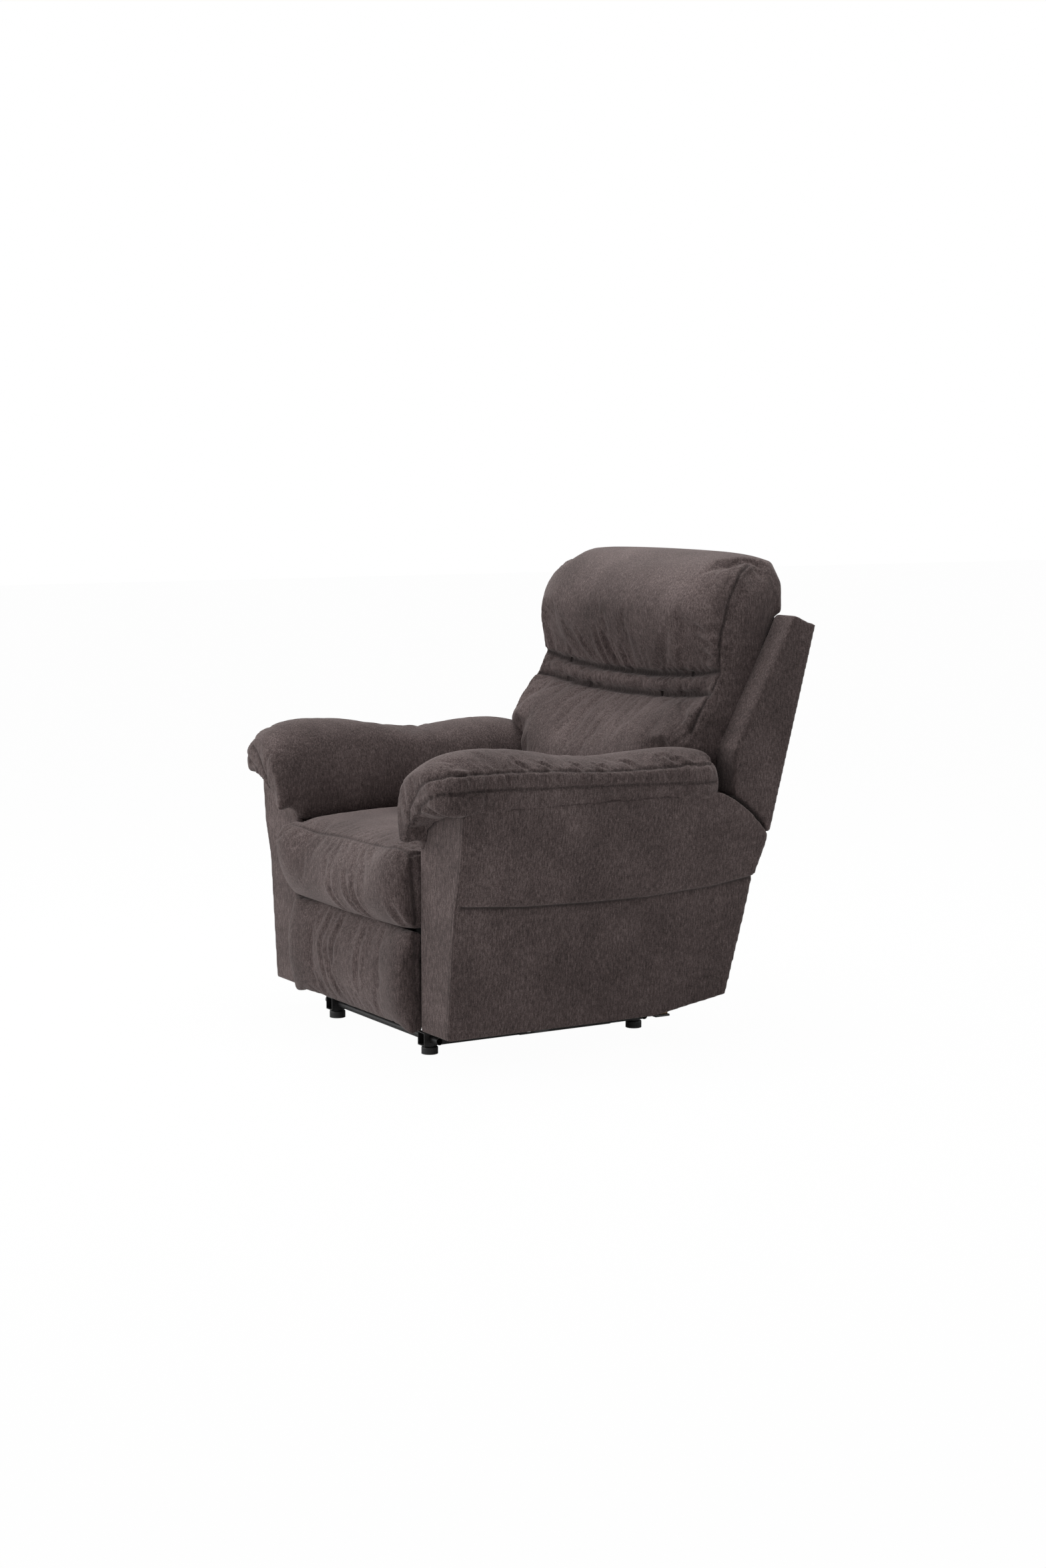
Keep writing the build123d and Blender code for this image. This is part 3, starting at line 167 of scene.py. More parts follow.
# Steel work: rails, tubes, tracks, plates and links are powder coated black, with a slightly
# pebbled coat; rivets, bolts, springs and clips are bright zinc.
COAT_SHADES = [(0.3, (0.008, 0.008, 0.009)), (0.75, (0.022, 0.021, 0.021))]
ZINC_SHADES = [(0.3, (0.42, 0.42, 0.44)), (0.7, (0.62, 0.62, 0.64))]


def coat(finish, *names):
    """Gives a finish to CAD pieces that are shown as they are."""
    for name in names:
        nodes[name].data.materials.clear()
        nodes[name].data.materials.append(finish)


black_coat, shader, tone = new_finish("black_powder_coat")
at = tone.node("ShaderNodeTexCoord", {}, {}, "Object")
pebble = tone.node("ShaderNodeTexNoise", {}, {"Vector": at, "Scale": 900.0, "Detail": 2.0})
dust = tone.node("ShaderNodeTexNoise", {}, {"Vector": at, "Scale": 14.0, "Detail": 4.0})
shade = tone.node("ShaderNodeValToRGB", {"stops": COAT_SHADES}, {"Fac": dust})
shade.feed(shader.inputs["Base Color"])
(dust * 0.2 + 0.32).feed(shader.inputs["Roughness"])
bump = tone.node("ShaderNodeBump", {}, {"Strength": 0.25, "Distance": 0.0004, "Height": pebble})
bump.feed(shader.inputs["Normal"])
coat(
    black_coat,
    "left_base_rail",
    "right_base_rail",
    "cross_tubes",
    "track_uprights",
    "tracks",
    "arm_brackets",
    "left_side_plate",
    "right_side_plate",
    "back_brackets",
    "footrest_brackets",
    "torque_tube",
    "swing_links",
    "guide_links",
    "carry_links",
    "tilt_links",
)

zinc, shader, tone = new_finish("bright_zinc")
at = tone.node("ShaderNodeTexCoord", {}, {}, "Object")
spangle = tone.node("ShaderNodeTexNoise", {}, {"Vector": at, "Scale": 260.0, "Detail": 3.0})
shade = tone.node("ShaderNodeValToRGB", {"stops": ZINC_SHADES}, {"Fac": spangle})
shade.feed(shader.inputs["Base Color"])
(spangle * 0.25 + 0.2).feed(shader.inputs["Roughness"])
shader.inputs["Metallic"].default_value = 1.0
coat(
    zinc,
    "arm_bolts",
    "plate_rivets",
    "back_hinge_pins",
    "seat_springs",
    "spring_clips",
    "carry_rivets",
    "tilt_rivets",
    "release_pin",
    "release_spring",
)


# Moulded black plastic: the glide feet, the blocks that run in the tracks, the release bezel and
# paddle, and the sheath of the release cable.
PLASTIC_SHADES = [(0.35, (0.009, 0.009, 0.010)), (0.8, (0.024, 0.024, 0.025))]
moulded, shader, tone = new_finish("moulded_black")
at = tone.node("ShaderNodeTexCoord", {}, {}, "Object")
spark = tone.node("ShaderNodeTexNoise", {}, {"Vector": at, "Scale": 1400.0, "Detail": 2.0})
scuff = tone.node("ShaderNodeTexNoise", {}, {"Vector": at, "Scale": 40.0, "Detail": 5.0})
shade = tone.node("ShaderNodeValToRGB", {"stops": PLASTIC_SHADES}, {"Fac": scuff})
shade.feed(shader.inputs["Base Color"])
(scuff * 0.25 + 0.38).feed(shader.inputs["Roughness"])
bump = tone.node("ShaderNodeBump", {}, {"Strength": 0.2, "Distance": 0.0003, "Height": spark})
bump.feed(shader.inputs["Normal"])
coat(moulded, "glide_feet", "glide_blocks", "release_bezel", "release_paddle", "release_cable")


# Frame timber: the base boards of the arms, the rails of the seat and the lower rail of the back
# are plain sawn wood, with its grain lying level.
TIMBER_SHADES = [(0.3, (0.28, 0.17, 0.085)), (0.7, (0.50, 0.35, 0.20))]
timber, shader, tone = new_finish("sawn_timber")
at = tone.node("ShaderNodeTexCoord", {}, {}, "Object")
drawn = tone.node("ShaderNodeMapping", {}, {"Vector": at, "Scale": (6.0, 6.0, 60.0)})
grain = tone.node(
    "ShaderNodeTexNoise",
    {},
    {"Vector": drawn, "Scale": 4.0, "Detail": 6.0, "Distortion": 0.8},
)
shade = tone.node("ShaderNodeValToRGB", {"stops": TIMBER_SHADES}, {"Fac": grain})
shade.feed(shader.inputs["Base Color"])
(grain * 0.2 + 0.6).feed(shader.inputs["Roughness"])
bump = tone.node("ShaderNodeBump", {}, {"Strength": 0.3, "Distance": 0.0005, "Height": grain})
bump.feed(shader.inputs["Normal"])
coat(
    timber,
    "left_arm_base_board",
    "right_arm_base_board",
    "seat_side_rails",
    "seat_cross_rails",
    "back_lower_rail",
)


# Back webbing: woven elastic straps stapled across the stiles behind the cushion. They are black,
# with a ribbed weave.
STRAP_SHADES = [(0.2, (0.03, 0.03, 0.032)), (0.8, (0.12, 0.12, 0.125))]
webbing, shader, tone = new_finish("woven_strap")
at = tone.node("ShaderNodeTexCoord", {}, {}, "Object")
rib = tone.node(
    "ShaderNodeTexWave",
    {"bands_direction": "X"},
    {"Vector": at, "Scale": 180.0, "Distortion": 0.4},
)
shade = tone.node("ShaderNodeValToRGB", {"stops": STRAP_SHADES}, {"Fac": rib})
shade.feed(shader.inputs["Base Color"])
shader.inputs["Roughness"].default_value = 0.85
bump = tone.node("ShaderNodeBump", {}, {"Strength": 0.5, "Distance": 0.0006, "Height": rib})
bump.feed(shader.inputs["Normal"])
coat(webbing, "back_webbing")


# Cover cloth: a brushed chenille in dark taupe brown. Pale and dark fibres speckle it, its pile lies in
# soft clouds, painted shade darkens it along its seams, and it darkens in two rows of stitches inside
# the arms' front edges. The arms' inner and top boards and the back's stiles and top rail wear it too.
CLOTH_SHADES = [
    (0.33, (0.029, 0.0212, 0.0202)),
    (0.52, (0.088, 0.0655, 0.0632)),
    (0.71, (0.190, 0.148, 0.143)),
]
# Colour of the painted shade along the seams, and also of the stitch thread.
PAINTED_SEAM_SHADE_AND_STITCH = (0.014, 0.011, 0.0105, 1)
STITCH_INSET = 0.008
STITCH_HALF_GAP = 0.004
STITCH_SHARPNESS = 600.0
chenille, shader, tone = new_finish("taupe_chenille")
at = tone.node("ShaderNodeTexCoord", {}, {}, "Object")
pile = tone.node(
    "ShaderNodeTexNoise",
    {},
    {"Vector": at, "Scale": 7.0, "Detail": 5.0, "Roughness": 0.6},
)
fleck = tone.node(
    "ShaderNodeTexNoise",
    {},
    {"Vector": at, "Scale": 410.0, "Detail": 3.0, "Roughness": 0.7},
)
upright = tone.node("ShaderNodeMapping", {}, {"Vector": at, "Scale": (1.0, 1.0, 0.26)})
streak = tone.node("ShaderNodeTexNoise", {}, {"Vector": upright, "Scale": 330.0, "Detail": 3.0})
fibre = tone.node("ShaderNodeTexNoise", {}, {"Vector": at, "Scale": 1100.0, "Detail": 2.0})
# Strength of the painted shade along the seams, written by sew() as a vertex attribute.
seam = tone.node("ShaderNodeAttribute", {"attribute_name": "seam"}, {}, "Fac")
inset = tone.node("ShaderNodeAttribute", {"attribute_name": "inset"}, {}, "Fac")
off_middle = tone.maths("ABSOLUTE", inset - STITCH_INSET, 0.0)
off_row = tone.maths("ABSOLUTE", off_middle - STITCH_HALF_GAP, 0.0)
stitch = tone.maths("MAXIMUM", 1.0 - off_row * STITCH_SHARPNESS, 0.0)
mixed = fleck * 0.56 + streak * 0.47 + pile * 0.33 - 0.18
shade = tone.node("ShaderNodeValToRGB", {"stops": CLOTH_SHADES}, {"Fac": mixed})
# Painted shade: the cloth is mixed towards the dark colour along its seams; the stitch rows use the
# same colour.
cloth_with_seam_shade_and_stitches = tone.node(
    "ShaderNodeMix",
    {"data_type": "RGBA"},
    {0: seam + stitch * 0.6, 6: shade, 7: PAINTED_SEAM_SHADE_AND_STITCH},
    2,
)
cloth_with_seam_shade_and_stitches.feed(shader.inputs["Base Color"])
shader.inputs["Roughness"].default_value = 0.92
shader.inputs["Specular IOR Level"].default_value = 0.15
shader.inputs["Sheen Weight"].default_value = 0.22
shader.inputs["Sheen Roughness"].default_value = 0.45
shader.inputs["Sheen Tint"].default_value = (0.75, 0.68, 0.66, 1)
nap = fleck * 0.6 + fibre * 0.4 + streak * 0.3
bump = tone.node("ShaderNodeBump", {}, {"Strength": 0.55, "Distance": 0.0012, "Height": nap})
bump.feed(shader.inputs["Normal"])
coat(
    chenille,
    "left_arm_inner_board",
    "right_arm_inner_board",
    "left_arm_top_board",
    "right_arm_top_board",
    "back_stiles",
    "back_top_rail",
)


# Arm covers: padded panels over the boards, one cover on each arm. Its upper outer panel laps over
# the lower one along a sagging seam, and two rows of stitches run inside its outer front edge.
LAP_X = 0.418
LAP_Z = 0.332
LAP_Y = (-0.39, -0.25, -0.09, 0.04, 0.20, 0.31)
LAP_SAG = (0.0, -0.011, -0.015, -0.015, -0.006, 0.008)
ARM_FRONT_Y = -0.36
ARM_EDGE_Z = (0.075, 0.325, 0.407, 0.520)
ARM_EDGE_X = (0.390, 0.417, 0.441, 0.455)
NO_STITCH = 1.0


def places_of(piece):
    """Vertex positions of a piece as an array."""
    flat = np.empty(len(piece.data.vertices) * 3, np.float32)
    piece.data.vertices.foreach_get("co", flat)
    return flat.reshape(-1, 3).astype(float)


def set_places(piece, places):
    piece.data.vertices.foreach_set("co", places.astype(np.float32).ravel())
    piece.data.update()


def normals_of(piece):
    flat = np.empty(len(piece.data.vertices) * 3, np.float32)
    piece.data.vertex_normals.foreach_get("vector", flat)
    return flat.reshape(-1, 3).astype(float)


def over(value, start, span):
    """A share that is 0 up to a start and grows to 1 over a span above it."""
    return np.clip((value - start) / span, 0, 1)


def under(value, start, span):
    """A share that is 0 down to a start and grows to 1 over a span below it."""
    return np.clip((start - value) / span, 0, 1)


def apply(piece, kind, **settings):
    """Adds a modifier, sets it and applies it."""
    bpy.context.view_layer.objects.active = piece
    made = piece.modifiers.new(kind.lower(), kind)
    for name, value in settings.items():
        setattr(made, name, value)
    bpy.ops.object.modifier_apply(modifier=made.name)


def even_cover(piece, voxel, soften):
    """Closed mesh of even quads with its edges softened, as foam under cloth has."""
    apply(piece, "REMESH", mode="VOXEL", voxel_size=voxel)
    apply(piece, "SMOOTH", factor=0.5, iterations=soften)


def cover_of(name, covered, voxel, soften):
    """Cover in the place of plain solids: their joined shape with soft edges."""
    copies = []
    for node in covered:
        copy = bpy.data.objects.new(name, nodes[node].data.copy())
        scene.collection.objects.link(copy)
        copy.data.materials.clear()
        bpy.ops.object.select_all(action="DESELECT")
        copy.select_set(True)
        bpy.context.view_layer.objects.active = copy
        bpy.ops.object.mode_set(mode="EDIT")
        bpy.ops.mesh.select_all(action="SELECT")
        bpy.ops.mesh.remove_doubles(threshold=0.00001)
        bpy.ops.mesh.normals_make_consistent(inside=False)
        bpy.ops.object.mode_set(mode="OBJECT")
        copies.append(copy)
    piece = copies[0]
    for other in copies[1:]:
        apply(piece, "BOOLEAN", operation="UNION", object=other, solver="EXACT")
        bpy.data.objects.remove(other)
    piece.name = name
    even_cover(piece, voxel, soften)
    return piece


def seam_line(piece, corners, step=0.004):
    """Points along a line through some corners, laid on the nearest cloth."""
    spots = [vertex.co for vertex in piece.data.vertices]
    faces = [polygon.vertices for polygon in piece.data.polygons]
    cloth = BVHTree.FromPolygons(spots, faces)
    line = []
    for start, end in zip(corners, corners[1:]):
        start = Vector(start)
        end = Vector(end)
        count = max(2, int((end - start).length / step))
        for index in range(count):
            line.append(cloth.find_nearest(start.lerp(end, index / count))[0])
    line.append(cloth.find_nearest(Vector(corners[-1]))[0])
    return line


def along_line(piece, corners, reach=0.12):
    """For each vertex near a seam line, its distance from it and how far along it that is."""
    line = seam_line(piece, corners)
    tree = KDTree(len(line))
    for index, point in enumerate(line):
        tree.insert(point, index)
    tree.balance()
    points = np.array(line)
    lengths = np.concatenate(([0], np.cumsum(np.linalg.norm(np.diff(points, axis=0), axis=1))))
    places = places_of(piece)
    near = np.all((places > points.min(0) - reach) & (places < points.max(0) + reach), axis=1)
    distance = np.ones(len(places))
    along = np.zeros(len(places))
    for vertex in np.nonzero(near)[0]:
        _, index, away = tree.find(places[vertex])
        distance[vertex] = away
        along[vertex] = lengths[index]
    return distance, along


def sew(piece, corners, depth, width, gather=0.0, reach=0.03, pitch=0.022, turn=0.0, seam_shade_strength=0.5):
    """A seam in a cover: a groove along the line, painted shade in the groove, and gathers that fan out
    from it.
    """
    distance, along = along_line(piece, corners)
    groove = np.exp(-((distance / width) ** 2))
    move = -depth * groove
    if gather:
        bent = along + distance * 0.3 * np.sin(along / 0.061 + turn)
        phase = bent / pitch + 0.6 * np.sin(along / 0.047 + turn)
        phase = phase + 0.4 * np.sin(along / 0.021 + 2 * turn)
        ridges = np.abs(np.sin(np.pi * phase))
        uneven = 0.35 + 0.65 * (0.5 + 0.5 * np.sin(along / 0.083 + 3 * turn))
        fade = np.exp(-distance / reach) * (1 - np.exp(-((distance / 0.006) ** 2)))
        move = move + gather * (ridges - 0.65) * uneven * fade
    set_places(piece, places_of(piece) + normals_of(piece) * move[:, None])
    # Painted shade: the cloth is painted darker along the seam, most at its middle.
    painted_shade_mark = piece.data.attributes.get("seam")
    if painted_shade_mark is None:
        painted_shade_mark = piece.data.attributes.new("seam", "FLOAT", "POINT")
    held = np.zeros(len(piece.data.vertices), np.float32)
    painted_shade_mark.data.foreach_get("value", held)
    shade = seam_shade_strength * np.exp(-((distance / (0.7 * width)) ** 2))
    painted_shade_mark.data.foreach_set("value", np.maximum(held, shade.astype(np.float32)))


def dress(piece, body, covered):
    """Finishes a cover: smooth shading, cloth, and what it stands for."""
    piece.data.shade_smooth()
    piece.data.materials.append(chenille)
    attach(piece, body)
    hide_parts(*covered)


for side, x_sign in (("left", 1), ("right", -1)):
    panels = [side + panel for panel in ("_arm_lower_panel", "_arm_upper_panel", "_arm_front_panel")]
    arm = cover_of(side + "_arm_cover", panels, voxel=0.004, soften=10)
    x, y, z = places_of(arm).T
    # The cloth sags at the lap, and only on the outer side.
    beside = np.exp(-(((z - LAP_Z) / 0.05) ** 2)) * over(x_sign * x, 0.38, 0.02)
    z = z + np.interp(y, LAP_Y, LAP_SAG) * beside
    set_places(arm, np.stack((x, y, z), -1))
    lap = [(x_sign * LAP_X, lap_y, LAP_Z + sag) for lap_y, sag in zip(LAP_Y, LAP_SAG)]
    # The lap seam gets a groove and painted shade along it.
    sew(arm, lap, depth=0.004, width=0.005, seam_shade_strength=0.85)
    from_edge = np.interp(z, ARM_EDGE_Z, ARM_EDGE_X) - x_sign * x
    rows = arm.data.attributes.new("inset", "FLOAT", "POINT")
    row_inset = np.where(y < ARM_FRONT_Y, from_edge, NO_STITCH)
    rows.data.foreach_set("value", row_inset.astype(np.float32))
    dress(arm, "base", panels)


# Arm pillows: stuffed covers laid over the arms, with a boxed side of two long seams and a front
# that is gathered and hangs over the front panel. Fibre filling swells them between the seams.
NOSE_Y = -0.398
NOSE_LENGTH = 0.056
NOSE_TUCK = 0.036
HEEL_TUCK = 0.030
HEM_Y = -0.404
HEM_X = (0.274, 0.290, 0.306, 0.345, 0.400, 0.461)
HEM_Z = (0.436, 0.442, 0.482, 0.509, 0.520, 0.528)
HEM_PULL = 0.012
INNER_DROP = 0.014
OUTER_DROP = 0.010
PILLOW_SEAMS = {
    "upper": [
        (0.440, 0.190, 0.588),
        (0.456, 0.150, 0.592),
        (0.457, -0.356, 0.604),
        (0.445, -0.405, 0.598),
        (0.415, -0.435, 0.588),
        (0.370, -0.452, 0.570),
        (0.325, -0.455, 0.520),
        (0.312, -0.452, 0.462),
    ],
    "lower": [
        (0.445, 0.195, 0.547),
        (0.460, 0.150, 0.549),
        (0.460, -0.356, 0.565),
        (0.450, -0.410, 0.562),
        (0.425, -0.438, 0.560),
        (0.369, -0.450, 0.530),
        (0.344, -0.450, 0.460),
    ],
    "upright": [
        (0.457, -0.356, 0.604),
        (0.460, -0.356, 0.565),
        (0.458, -0.356, 0.529),
    ],
}
NOSE_FOLDS = (
    ((0.454, -0.382, 0.583), (0.430, -0.430, 0.606)),
    ((0.456, -0.374, 0.546), (0.425, -0.432, 0.556)),
)
SIDE_FOLDS = (
    (-0.30, 0.03),
    (-0.25, -0.02),
    (-0.19, -0.03),
    (-0.12, -0.02),
    (-0.06, -0.03),
    (0.00, -0.02),
    (0.05, 0.02),
    (0.10, -0.02),
)
SWELL_STEPS = 16


def plump(piece, seams, cap, loose):
    """Swells a cover between its seams by a short cloth simulation, and limits the swelling."""
    sewn = np.zeros(len(piece.data.vertices), bool)
    for corners in seams.values():
        sewn |= along_line(piece, corners)[0] < 0.005
    group = piece.vertex_groups.new(name="sewn")
    group.add([int(index) for index in np.nonzero(sewn)[0]], 1.0, "REPLACE")
    flat = places_of(piece)
    cloth = piece.modifiers.new("filling", "CLOTH")
    cloth.settings.use_pressure = True
    cloth.settings.uniform_pressure_force = 4.0
    cloth.settings.effector_weights.gravity = 0
    cloth.settings.vertex_group_mass = "sewn"
    cloth.settings.shrink_min = -loose
    cloth.settings.quality = 4
    cloth.point_cache.frame_start = 1
    cloth.point_cache.frame_end = 20
    for step in range(SWELL_STEPS):
        scene.frame_set(step + 1)
    ready = piece.evaluated_get(bpy.context.evaluated_depsgraph_get())
    swollen = np.empty(len(flat) * 3, np.float32)
    ready.data.vertices.foreach_get("co", swollen)
    move = swollen.reshape(-1, 3).astype(float) - flat
    size = np.linalg.norm(move, axis=1)
    move *= (cap * np.tanh(size / cap) / np.maximum(size, 1e-9))[:, None]
    piece.modifiers.remove(cloth)
    piece.vertex_groups.remove(group)
    set_places(piece, flat + move)
    scene.frame_set(1)


def fold(piece, corners, depth, width):
    """A crease in the cloth: a soft valley with a lip on each side, fading at its ends."""
    distance, along = along_line(piece, corners)
    share = along / along.max()
    lips = np.exp(-(((distance - 1.9 * width) / width) ** 2))
    valley = np.exp(-((distance / width) ** 2)) - 0.6 * lips
    move = -depth * valley * np.sin(np.pi * (0.06 + 0.88 * share)) ** 0.7
    set_places(piece, places_of(piece) + normals_of(piece) * move[:, None])


def mirrored(piece, name):
    """The same piece for the chair's other side."""
    twin = bpy.data.objects.new(name, piece.data.copy())
    scene.collection.objects.link(twin)
    set_places(twin, places_of(twin) * np.array((-1, 1, 1)))
    twin.data.flip_normals()
    return twin


pillow = cover_of("left_arm_pillow_cover", ["left_arm_pillow"], voxel=0.006, soften=6)
x, y, z = places_of(pillow).T
# The hem rises round the front panel and is pulled back under the nose. The flaps inside and
# outside the arm hang lower, and nose and heel are tucked in at their outer corners.
nose = under(y, NOSE_Y, NOSE_LENGTH)
z = np.where(y < HEM_Y, np.maximum(z, np.interp(x, HEM_X, HEM_Z)), z)
y = y + HEM_PULL * nose * under(z, 0.530, 0.08) * over(x, 0.276, 0.02)
z = z - INNER_DROP * under(x, 0.310, 0.02) * under(z, 0.470, 0.03) * over(y, -0.42, 0.03)
x = x - NOSE_TUCK * nose**2 * over(x, 0.330, 0.12)
z = z - OUTER_DROP * over(x, 0.415, 0.02) * under(z, 0.565, 0.03)
x = x - HEEL_TUCK * over(y, 0.165, 0.040) ** 2 * over(x, 0.380, 0.07)
set_places(pillow, np.stack((x, y, z), -1))
apply(pillow, "SMOOTH", factor=0.5, iterations=4)
plump(pillow, PILLOW_SEAMS, cap=0.010, loose=0.03)
apply(pillow, "SUBSURF", levels=1, render_levels=1)
# Each pillow seam gets a groove, gathers and painted shade along it.
sew(
    pillow, PILLOW_SEAMS["upper"], depth=0.004, width=0.0045,
    gather=0.006, reach=0.030, pitch=0.034, turn=0.4, seam_shade_strength=0.6,
)
sew(
    pillow, PILLOW_SEAMS["lower"], depth=0.004, width=0.0045,
    gather=0.002, reach=0.012, pitch=0.040, turn=1.7, seam_shade_strength=0.6,
)
sew(
    pillow, PILLOW_SEAMS["upright"], depth=0.0015, width=0.004,
    gather=0.003, reach=0.020, pitch=0.014, turn=2.3, seam_shade_strength=0.3,
)
for start, end in NOSE_FOLDS:
    fold(pillow, [start, end], depth=0.0022, width=0.0045)
for fold_y, lean in SIDE_FOLDS:
    fold(pillow, [(0.456, fold_y, 0.606), (0.430, fold_y + lean, 0.630)], depth=0.0045, width=0.0055)
twin = mirrored(pillow, "right_arm_pillow_cover")
dress(pillow, "base", ["left_arm_pillow"])
dress(twin, "base", ["right_arm_pillow"])


# Rear panel: a board wrapped in the same cloth. It closes the chair low down at the rear, and is
# fixed between the arms.
rear = cover_of("rear_cover", ["rear_panel"], voxel=0.005, soften=6)
dress(rear, "base", ["rear_panel"])


# Seat cushion: a foam block wrapped in fibre, with a seam along the top of its rolled front and
# along both sides.
SEAT_SEAMS = {
    "front": [
        (-0.262, -0.441, 0.420),
        (-0.20, -0.438, 0.425),
        (0, -0.424, 0.425),
        (0.20, -0.424, 0.428),
        (0.262, -0.416, 0.423),
    ],
    "left": [(0.264, -0.405, 0.280), (0.266, -0.416, 0.426), (0.266, 0.15, 0.395)],
    "right": [(-0.264, -0.405, 0.280), (-0.266, -0.440, 0.420), (-0.266, 0.15, 0.395)],
}
SEAT_FOLDS = (
    ((-0.003, 0.350), (0.011, 0.278)),
    ((0.098, 0.345), (0.127, 0.272)),
    ((0.060, 0.352), (0.100, 0.276)),
    ((0.235, 0.330), (0.255, 0.275)),
)
seat = cover_of("seat_cover", ["seat_cushion"], voxel=0.006, soften=5)
x, y, z = places_of(seat).T
# The filling has pushed the ends of the front roll forward, mostly the right one.
roll = under(y, -0.30, 0.06) * np.interp(z, (0.32, 0.36, 0.40, 0.425), (0, 0.35, 0.9, 1))
right_end = under(x, -0.13, 0.11)
left_end = over(x, 0.13, 0.11)
y = y - (0.030 * right_end + 0.006 * left_end) * roll
z = z + (0.001 * right_end + 0.005 * left_end) * roll
set_places(seat, np.stack((x, y, z), -1))
plump(seat, SEAT_SEAMS, cap=0.009, loose=0.02)
apply(seat, "SUBSURF", levels=1, render_levels=1)
# Each seat seam gets a groove, gathers and painted shade along it.
sew(seat, SEAT_SEAMS["front"], 0.004, 0.005, gather=0.003, reach=0.030, pitch=0.030, turn=0.9)
sew(seat, SEAT_SEAMS["left"], 0.004, 0.005, gather=0.002, reach=0.020, pitch=0.026, turn=1.1)
sew(seat, SEAT_SEAMS["right"], 0.004, 0.005, gather=0.002, reach=0.020, pitch=0.026, turn=2.1)
for (top_x, top_z), (foot_x, foot_z) in SEAT_FOLDS:
    fold(seat, [(top_x, -0.435, top_z), (foot_x, -0.420, foot_z)], depth=0.0035, width=0.008)
dress(seat, "seat", ["seat_cushion"])


# Back cushion: one cover over three fibre chambers, sewn through in two channels, with a gusset
# down each side that meets the front in a gathered seam. Its tables give pairs in millimetres of
# the rise along the leaning back and the depth or half width there.
LEAN = math.radians(14.7)
BACK_FOOT_Y = 0.344
BACK_FOOT_Z = 0.444
FOOT_RISE = -0.104
HEAD_RISE = 0.538
CROWN = np.array((
    (-104, 152), (-62, 188), (-20, 212), (30, 228), (80, 232), (130, 226), (170, 208), (200, 178),
    (223, 144), (234, 160), (245, 168), (256, 160), (267, 142),
    (282, 174), (310, 200), (350, 218), (390, 222), (430, 216), (465, 205), (495, 186), (515, 162),
    (530, 130), (538, 98),
)) / 1000
EDGE = np.array((
    (-104, 136), (-62, 158), (60, 180), (119, 196), (190, 182), (248, 158), (291, 160), (338, 170),
    (415, 176), (490, 156), (520, 126), (538, 96),
)) / 1000
HALF_WIDTH = np.array((
    (-104, 245), (-62, 262), (48, 262), (80, 350), (440, 350), (490, 342), (520, 326), (538, 306),
)) / 1000
OVER_ARM = np.array(((70, 172), (98, 186), (120, 197), (132, 260))) / 1000
SIDE_REAR = np.array(((430, 30), (450, 34), (500, 48), (530, 84), (538, 88))) / 1000
REAR_DEPTH = 0.016
FRAME_TOP_RISE = 0.43
BACK_FOLDS = (
    ((-0.112, 0.275), (-0.150, 0.335)),
    ((-0.065, 0.272), (-0.072, 0.340)),
    ((-0.024, 0.270), (-0.043, 0.330)),
    ((0.016, 0.269), (0.014, 0.308)),
    ((0.346, 0.370), (0.285, 0.362)),
    ((0.346, 0.338), (0.290, 0.339)),
    ((0.346, 0.312), (0.300, 0.312)),
)


def back_place(x, rise, depth):
    """Point on the leaning back: rise along it, depth forward of its rear face."""
    y = BACK_FOOT_Y + rise * np.sin(LEAN) - depth * np.cos(LEAN)
    z = BACK_FOOT_Z + rise * np.cos(LEAN) + depth * np.sin(LEAN)
    return np.stack((x, y, z), -1)


def half_width(rise):
    """The cushion is narrow between the arms, and wide over them."""
    return np.interp(rise, *HALF_WIDTH.T)


def front_depth(x, rise):
    """Depth of the cushion's front face, with its channels bowed up at the sides."""
    across = np.clip(np.abs(x) / half_width(rise), 0, 1)
    bowed = rise - 0.021 * across**2 * np.exp(-(((rise - 0.250) / 0.12) ** 2))
    crown = np.interp(bowed, *CROWN.T)
    edge = np.interp(bowed, *EDGE.T)
    face = edge + (crown - edge) * (1 - across**9)
    clear = np.minimum(face, np.interp(rise, *OVER_ARM.T))
    return face + (clear - face) * over(np.abs(x), 0.230, 0.055)


def on_back(spots):
    """Points on the cushion's front from pairs of x and rise."""
    x, rise = np.array(spots).T
    return [tuple(point) for point in back_place(x, rise, front_depth(x, rise))]


bpy.ops.mesh.primitive_cube_add(size=2)
back = bpy.context.object
back.name = "back_cushion_cover"
bpy.ops.object.mode_set(mode="EDIT")
bpy.ops.mesh.select_all(action="SELECT")
bpy.ops.mesh.subdivide(number_cuts=99)
bpy.ops.object.mode_set(mode="OBJECT")
# Each point of the cube goes to its share of the cushion's width, depth and rise.
across, through, up = places_of(back).T
rise = FOOT_RISE + (HEAD_RISE - FOOT_RISE) * (up + 1) / 2
x = across * half_width(rise)
side_rear = np.interp(rise, *SIDE_REAR.T)
over_top = REAR_DEPTH + (side_rear - REAR_DEPTH) * over(np.abs(x), 0.22, 0.12) ** 2
below = np.interp(np.abs(x), (0.256, 0.268), (0.084, 0.047))
behind = np.where(rise > FRAME_TOP_RISE, over_top, below)
depth = behind + np.maximum(front_depth(x, rise) - behind, 0.004) * (1 - through) / 2
set_places(back, back_place(x, rise, depth))
even_cover(back, voxel=0.006, soften=6)

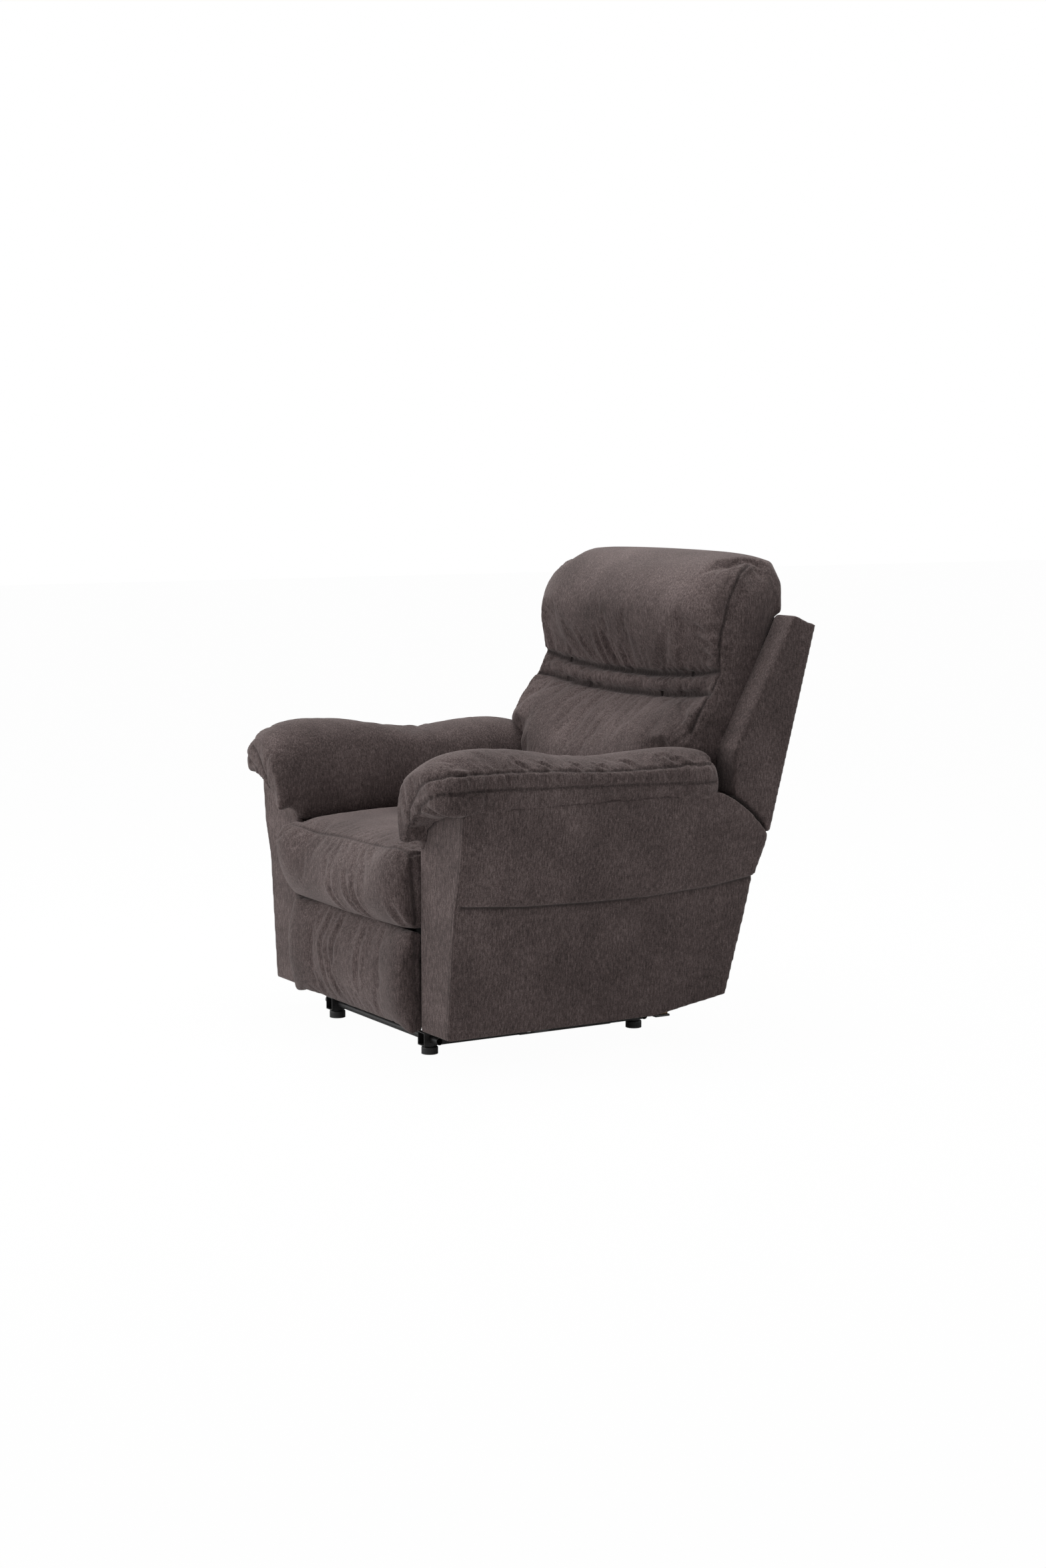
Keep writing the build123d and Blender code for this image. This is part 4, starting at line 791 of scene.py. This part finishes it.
channel_x = np.linspace(-0.348, 0.348, 15)
gusset_rise = np.array((0.152, 0.18, 0.227, 0.284, 0.356, 0.44, 0.50, 0.525))
gusset_x = half_width(gusset_rise) - 0.002
back_seams = {
    "upper_channel": on_back(np.stack((channel_x, 0.267 + 0.180 * channel_x**2), -1)),
    "lower_channel": on_back(np.stack((channel_x, 0.223 + 0.147 * channel_x**2), -1)),
    "left_gusset": on_back(np.stack((gusset_x, gusset_rise), -1)),
    "right_gusset": on_back(np.stack((-gusset_x, gusset_rise), -1)),
}
plump(back, back_seams, cap=0.022, loose=0.03)
apply(back, "SUBSURF", levels=1, render_levels=1)
# Columns: seam, groove depth, width, gather, reach, pitch, turn, and strength of the painted shade
# along the seam.
for name, depth, width, gather, reach, pitch, turn, seam_shade_strength in (
    ("upper_channel", 0.009, 0.006, 0.005, 0.026, 0.036, 0.3, 0.9),
    ("lower_channel", 0.009, 0.006, 0.004, 0.018, 0.040, 1.9, 0.8),
    ("left_gusset", 0.004, 0.0045, 0.005, 0.024, 0.030, 2.6, 0.8),
    ("right_gusset", 0.004, 0.0045, 0.005, 0.024, 0.030, 0.8, 0.8),
):
    sew(back, back_seams[name], depth, width, gather, reach, pitch, turn, seam_shade_strength)
for start, end in BACK_FOLDS:
    fold(back, on_back((start, end)), depth=0.005, width=0.007)
dress(back, "back", ["lumbar_cushion", "back_band", "head_pillow"])


# Outer back: one padded cover over the rear panel and both wings, with a seam behind the rolled
# front edge of each wing, and a skirt between the arms below it.
PANEL_HANG = 0.014
WING_LIFT = 0.009
WING_SEAM_X = 0.430
WING_SEAM = ((0.345, 0.832), (0.270, 0.656), (0.243, 0.578))
skirt = cover_of("back_skirt_cover", ["back_skirt"], voxel=0.005, soften=6)
dress(skirt, "back", ["back_skirt"])
outer_nodes = ["outer_back_panel", "left_wing", "right_wing"]
outer = cover_of("outer_back_cover", outer_nodes, voxel=0.004, soften=9)
x, y, z = places_of(outer).T
# The panel's foot hangs a little lower than its board, and the wings' top corners are fuller.
rise = (y - BACK_FOOT_Y) * math.sin(LEAN) + (z - BACK_FOOT_Z) * math.cos(LEAN)
depth = (z - BACK_FOOT_Z) * math.sin(LEAN) - (y - BACK_FOOT_Y) * math.cos(LEAN)
hang = PANEL_HANG * (1 - over(rise, 0, 0.03)) * under(depth, 0.018, 0.006)
lift = WING_LIFT * over(rise, 0.38, 0.03) * over(depth, 0.02, 0.05) * (np.abs(x) > 0.34)
y = y + (lift - hang) * math.sin(LEAN)
z = z + (lift - hang) * math.cos(LEAN)
set_places(outer, np.stack((x, y, z), -1))
# Each wing seam gets a shallow groove with painted shade along it.
for x_sign in (1, -1):
    wing_seam = [(x_sign * WING_SEAM_X, seam_y, seam_z) for seam_y, seam_z in WING_SEAM]
    sew(outer, wing_seam, depth=0.0015, width=0.005, seam_shade_strength=0.3)
dress(outer, "back", outer_nodes)


# Footrest: a padded board wrapped in the cover and carried by the links. Its cloth is creased where
# the filling has settled.
FOOT_HALF_WIDTH = 0.264
FOOT_MIDDLE = 0.2
FOOT_BOARD_Y = -0.400
FOOT_FOLD_Y = -0.415
FOOT_SEAMS = {
    "top": [(-0.262, FOOT_BOARD_Y, 0.262), (0.262, FOOT_BOARD_Y, 0.262)],
    "foot": [(-0.262, FOOT_BOARD_Y, 0.070), (0.262, FOOT_BOARD_Y, 0.070)],
}
FOOT_FOLDS = (
    ((-0.107, 0.200), (-0.081, 0.075)),
    ((-0.079, 0.190), (-0.028, 0.076)),
    ((-0.090, 0.255), (-0.097, 0.185)),
    ((-0.040, 0.252), (-0.048, 0.150)),
    ((0.071, 0.225), (0.060, 0.125)),
)
foot = cover_of("footrest_cover", ["footrest_board", "footrest_pad"], voxel=0.005, soften=4)
x, y, z = places_of(foot).T
# The pad's corners come forward, its ends are wider than the board, and its edges are fuller.
y = y - 0.009 * over(np.abs(x), 0.15, 0.09) * under(y, -0.385, 0.01)
board = y > FOOT_BOARD_Y
outside = np.abs(x) - FOOT_MIDDLE
reach = outside[board].max()
widened = np.sign(x) * (FOOT_MIDDLE + outside * (FOOT_HALF_WIDTH - FOOT_MIDDLE) / reach)
x = np.where(board & (outside > 0), widened, x)
raised = 0.004 * over(z, 0.22, 0.03)
lowered = (0.006 + 0.006 * over(np.abs(x), 0.22, 0.04)) * under(z, 0.11, 0.03)
z = z + raised - lowered
set_places(foot, np.stack((x, y, z), -1))
plump(foot, FOOT_SEAMS, cap=0.008, loose=0.02)
apply(foot, "SUBSURF", levels=1, render_levels=1)
for (top_x, top_z), (end_x, end_z) in FOOT_FOLDS:
    fold(foot, [(top_x, FOOT_FOLD_Y, top_z), (end_x, FOOT_FOLD_Y, end_z)], depth=0.003, width=0.008)
dress(foot, "footrest", ["footrest_board", "footrest_pad"])
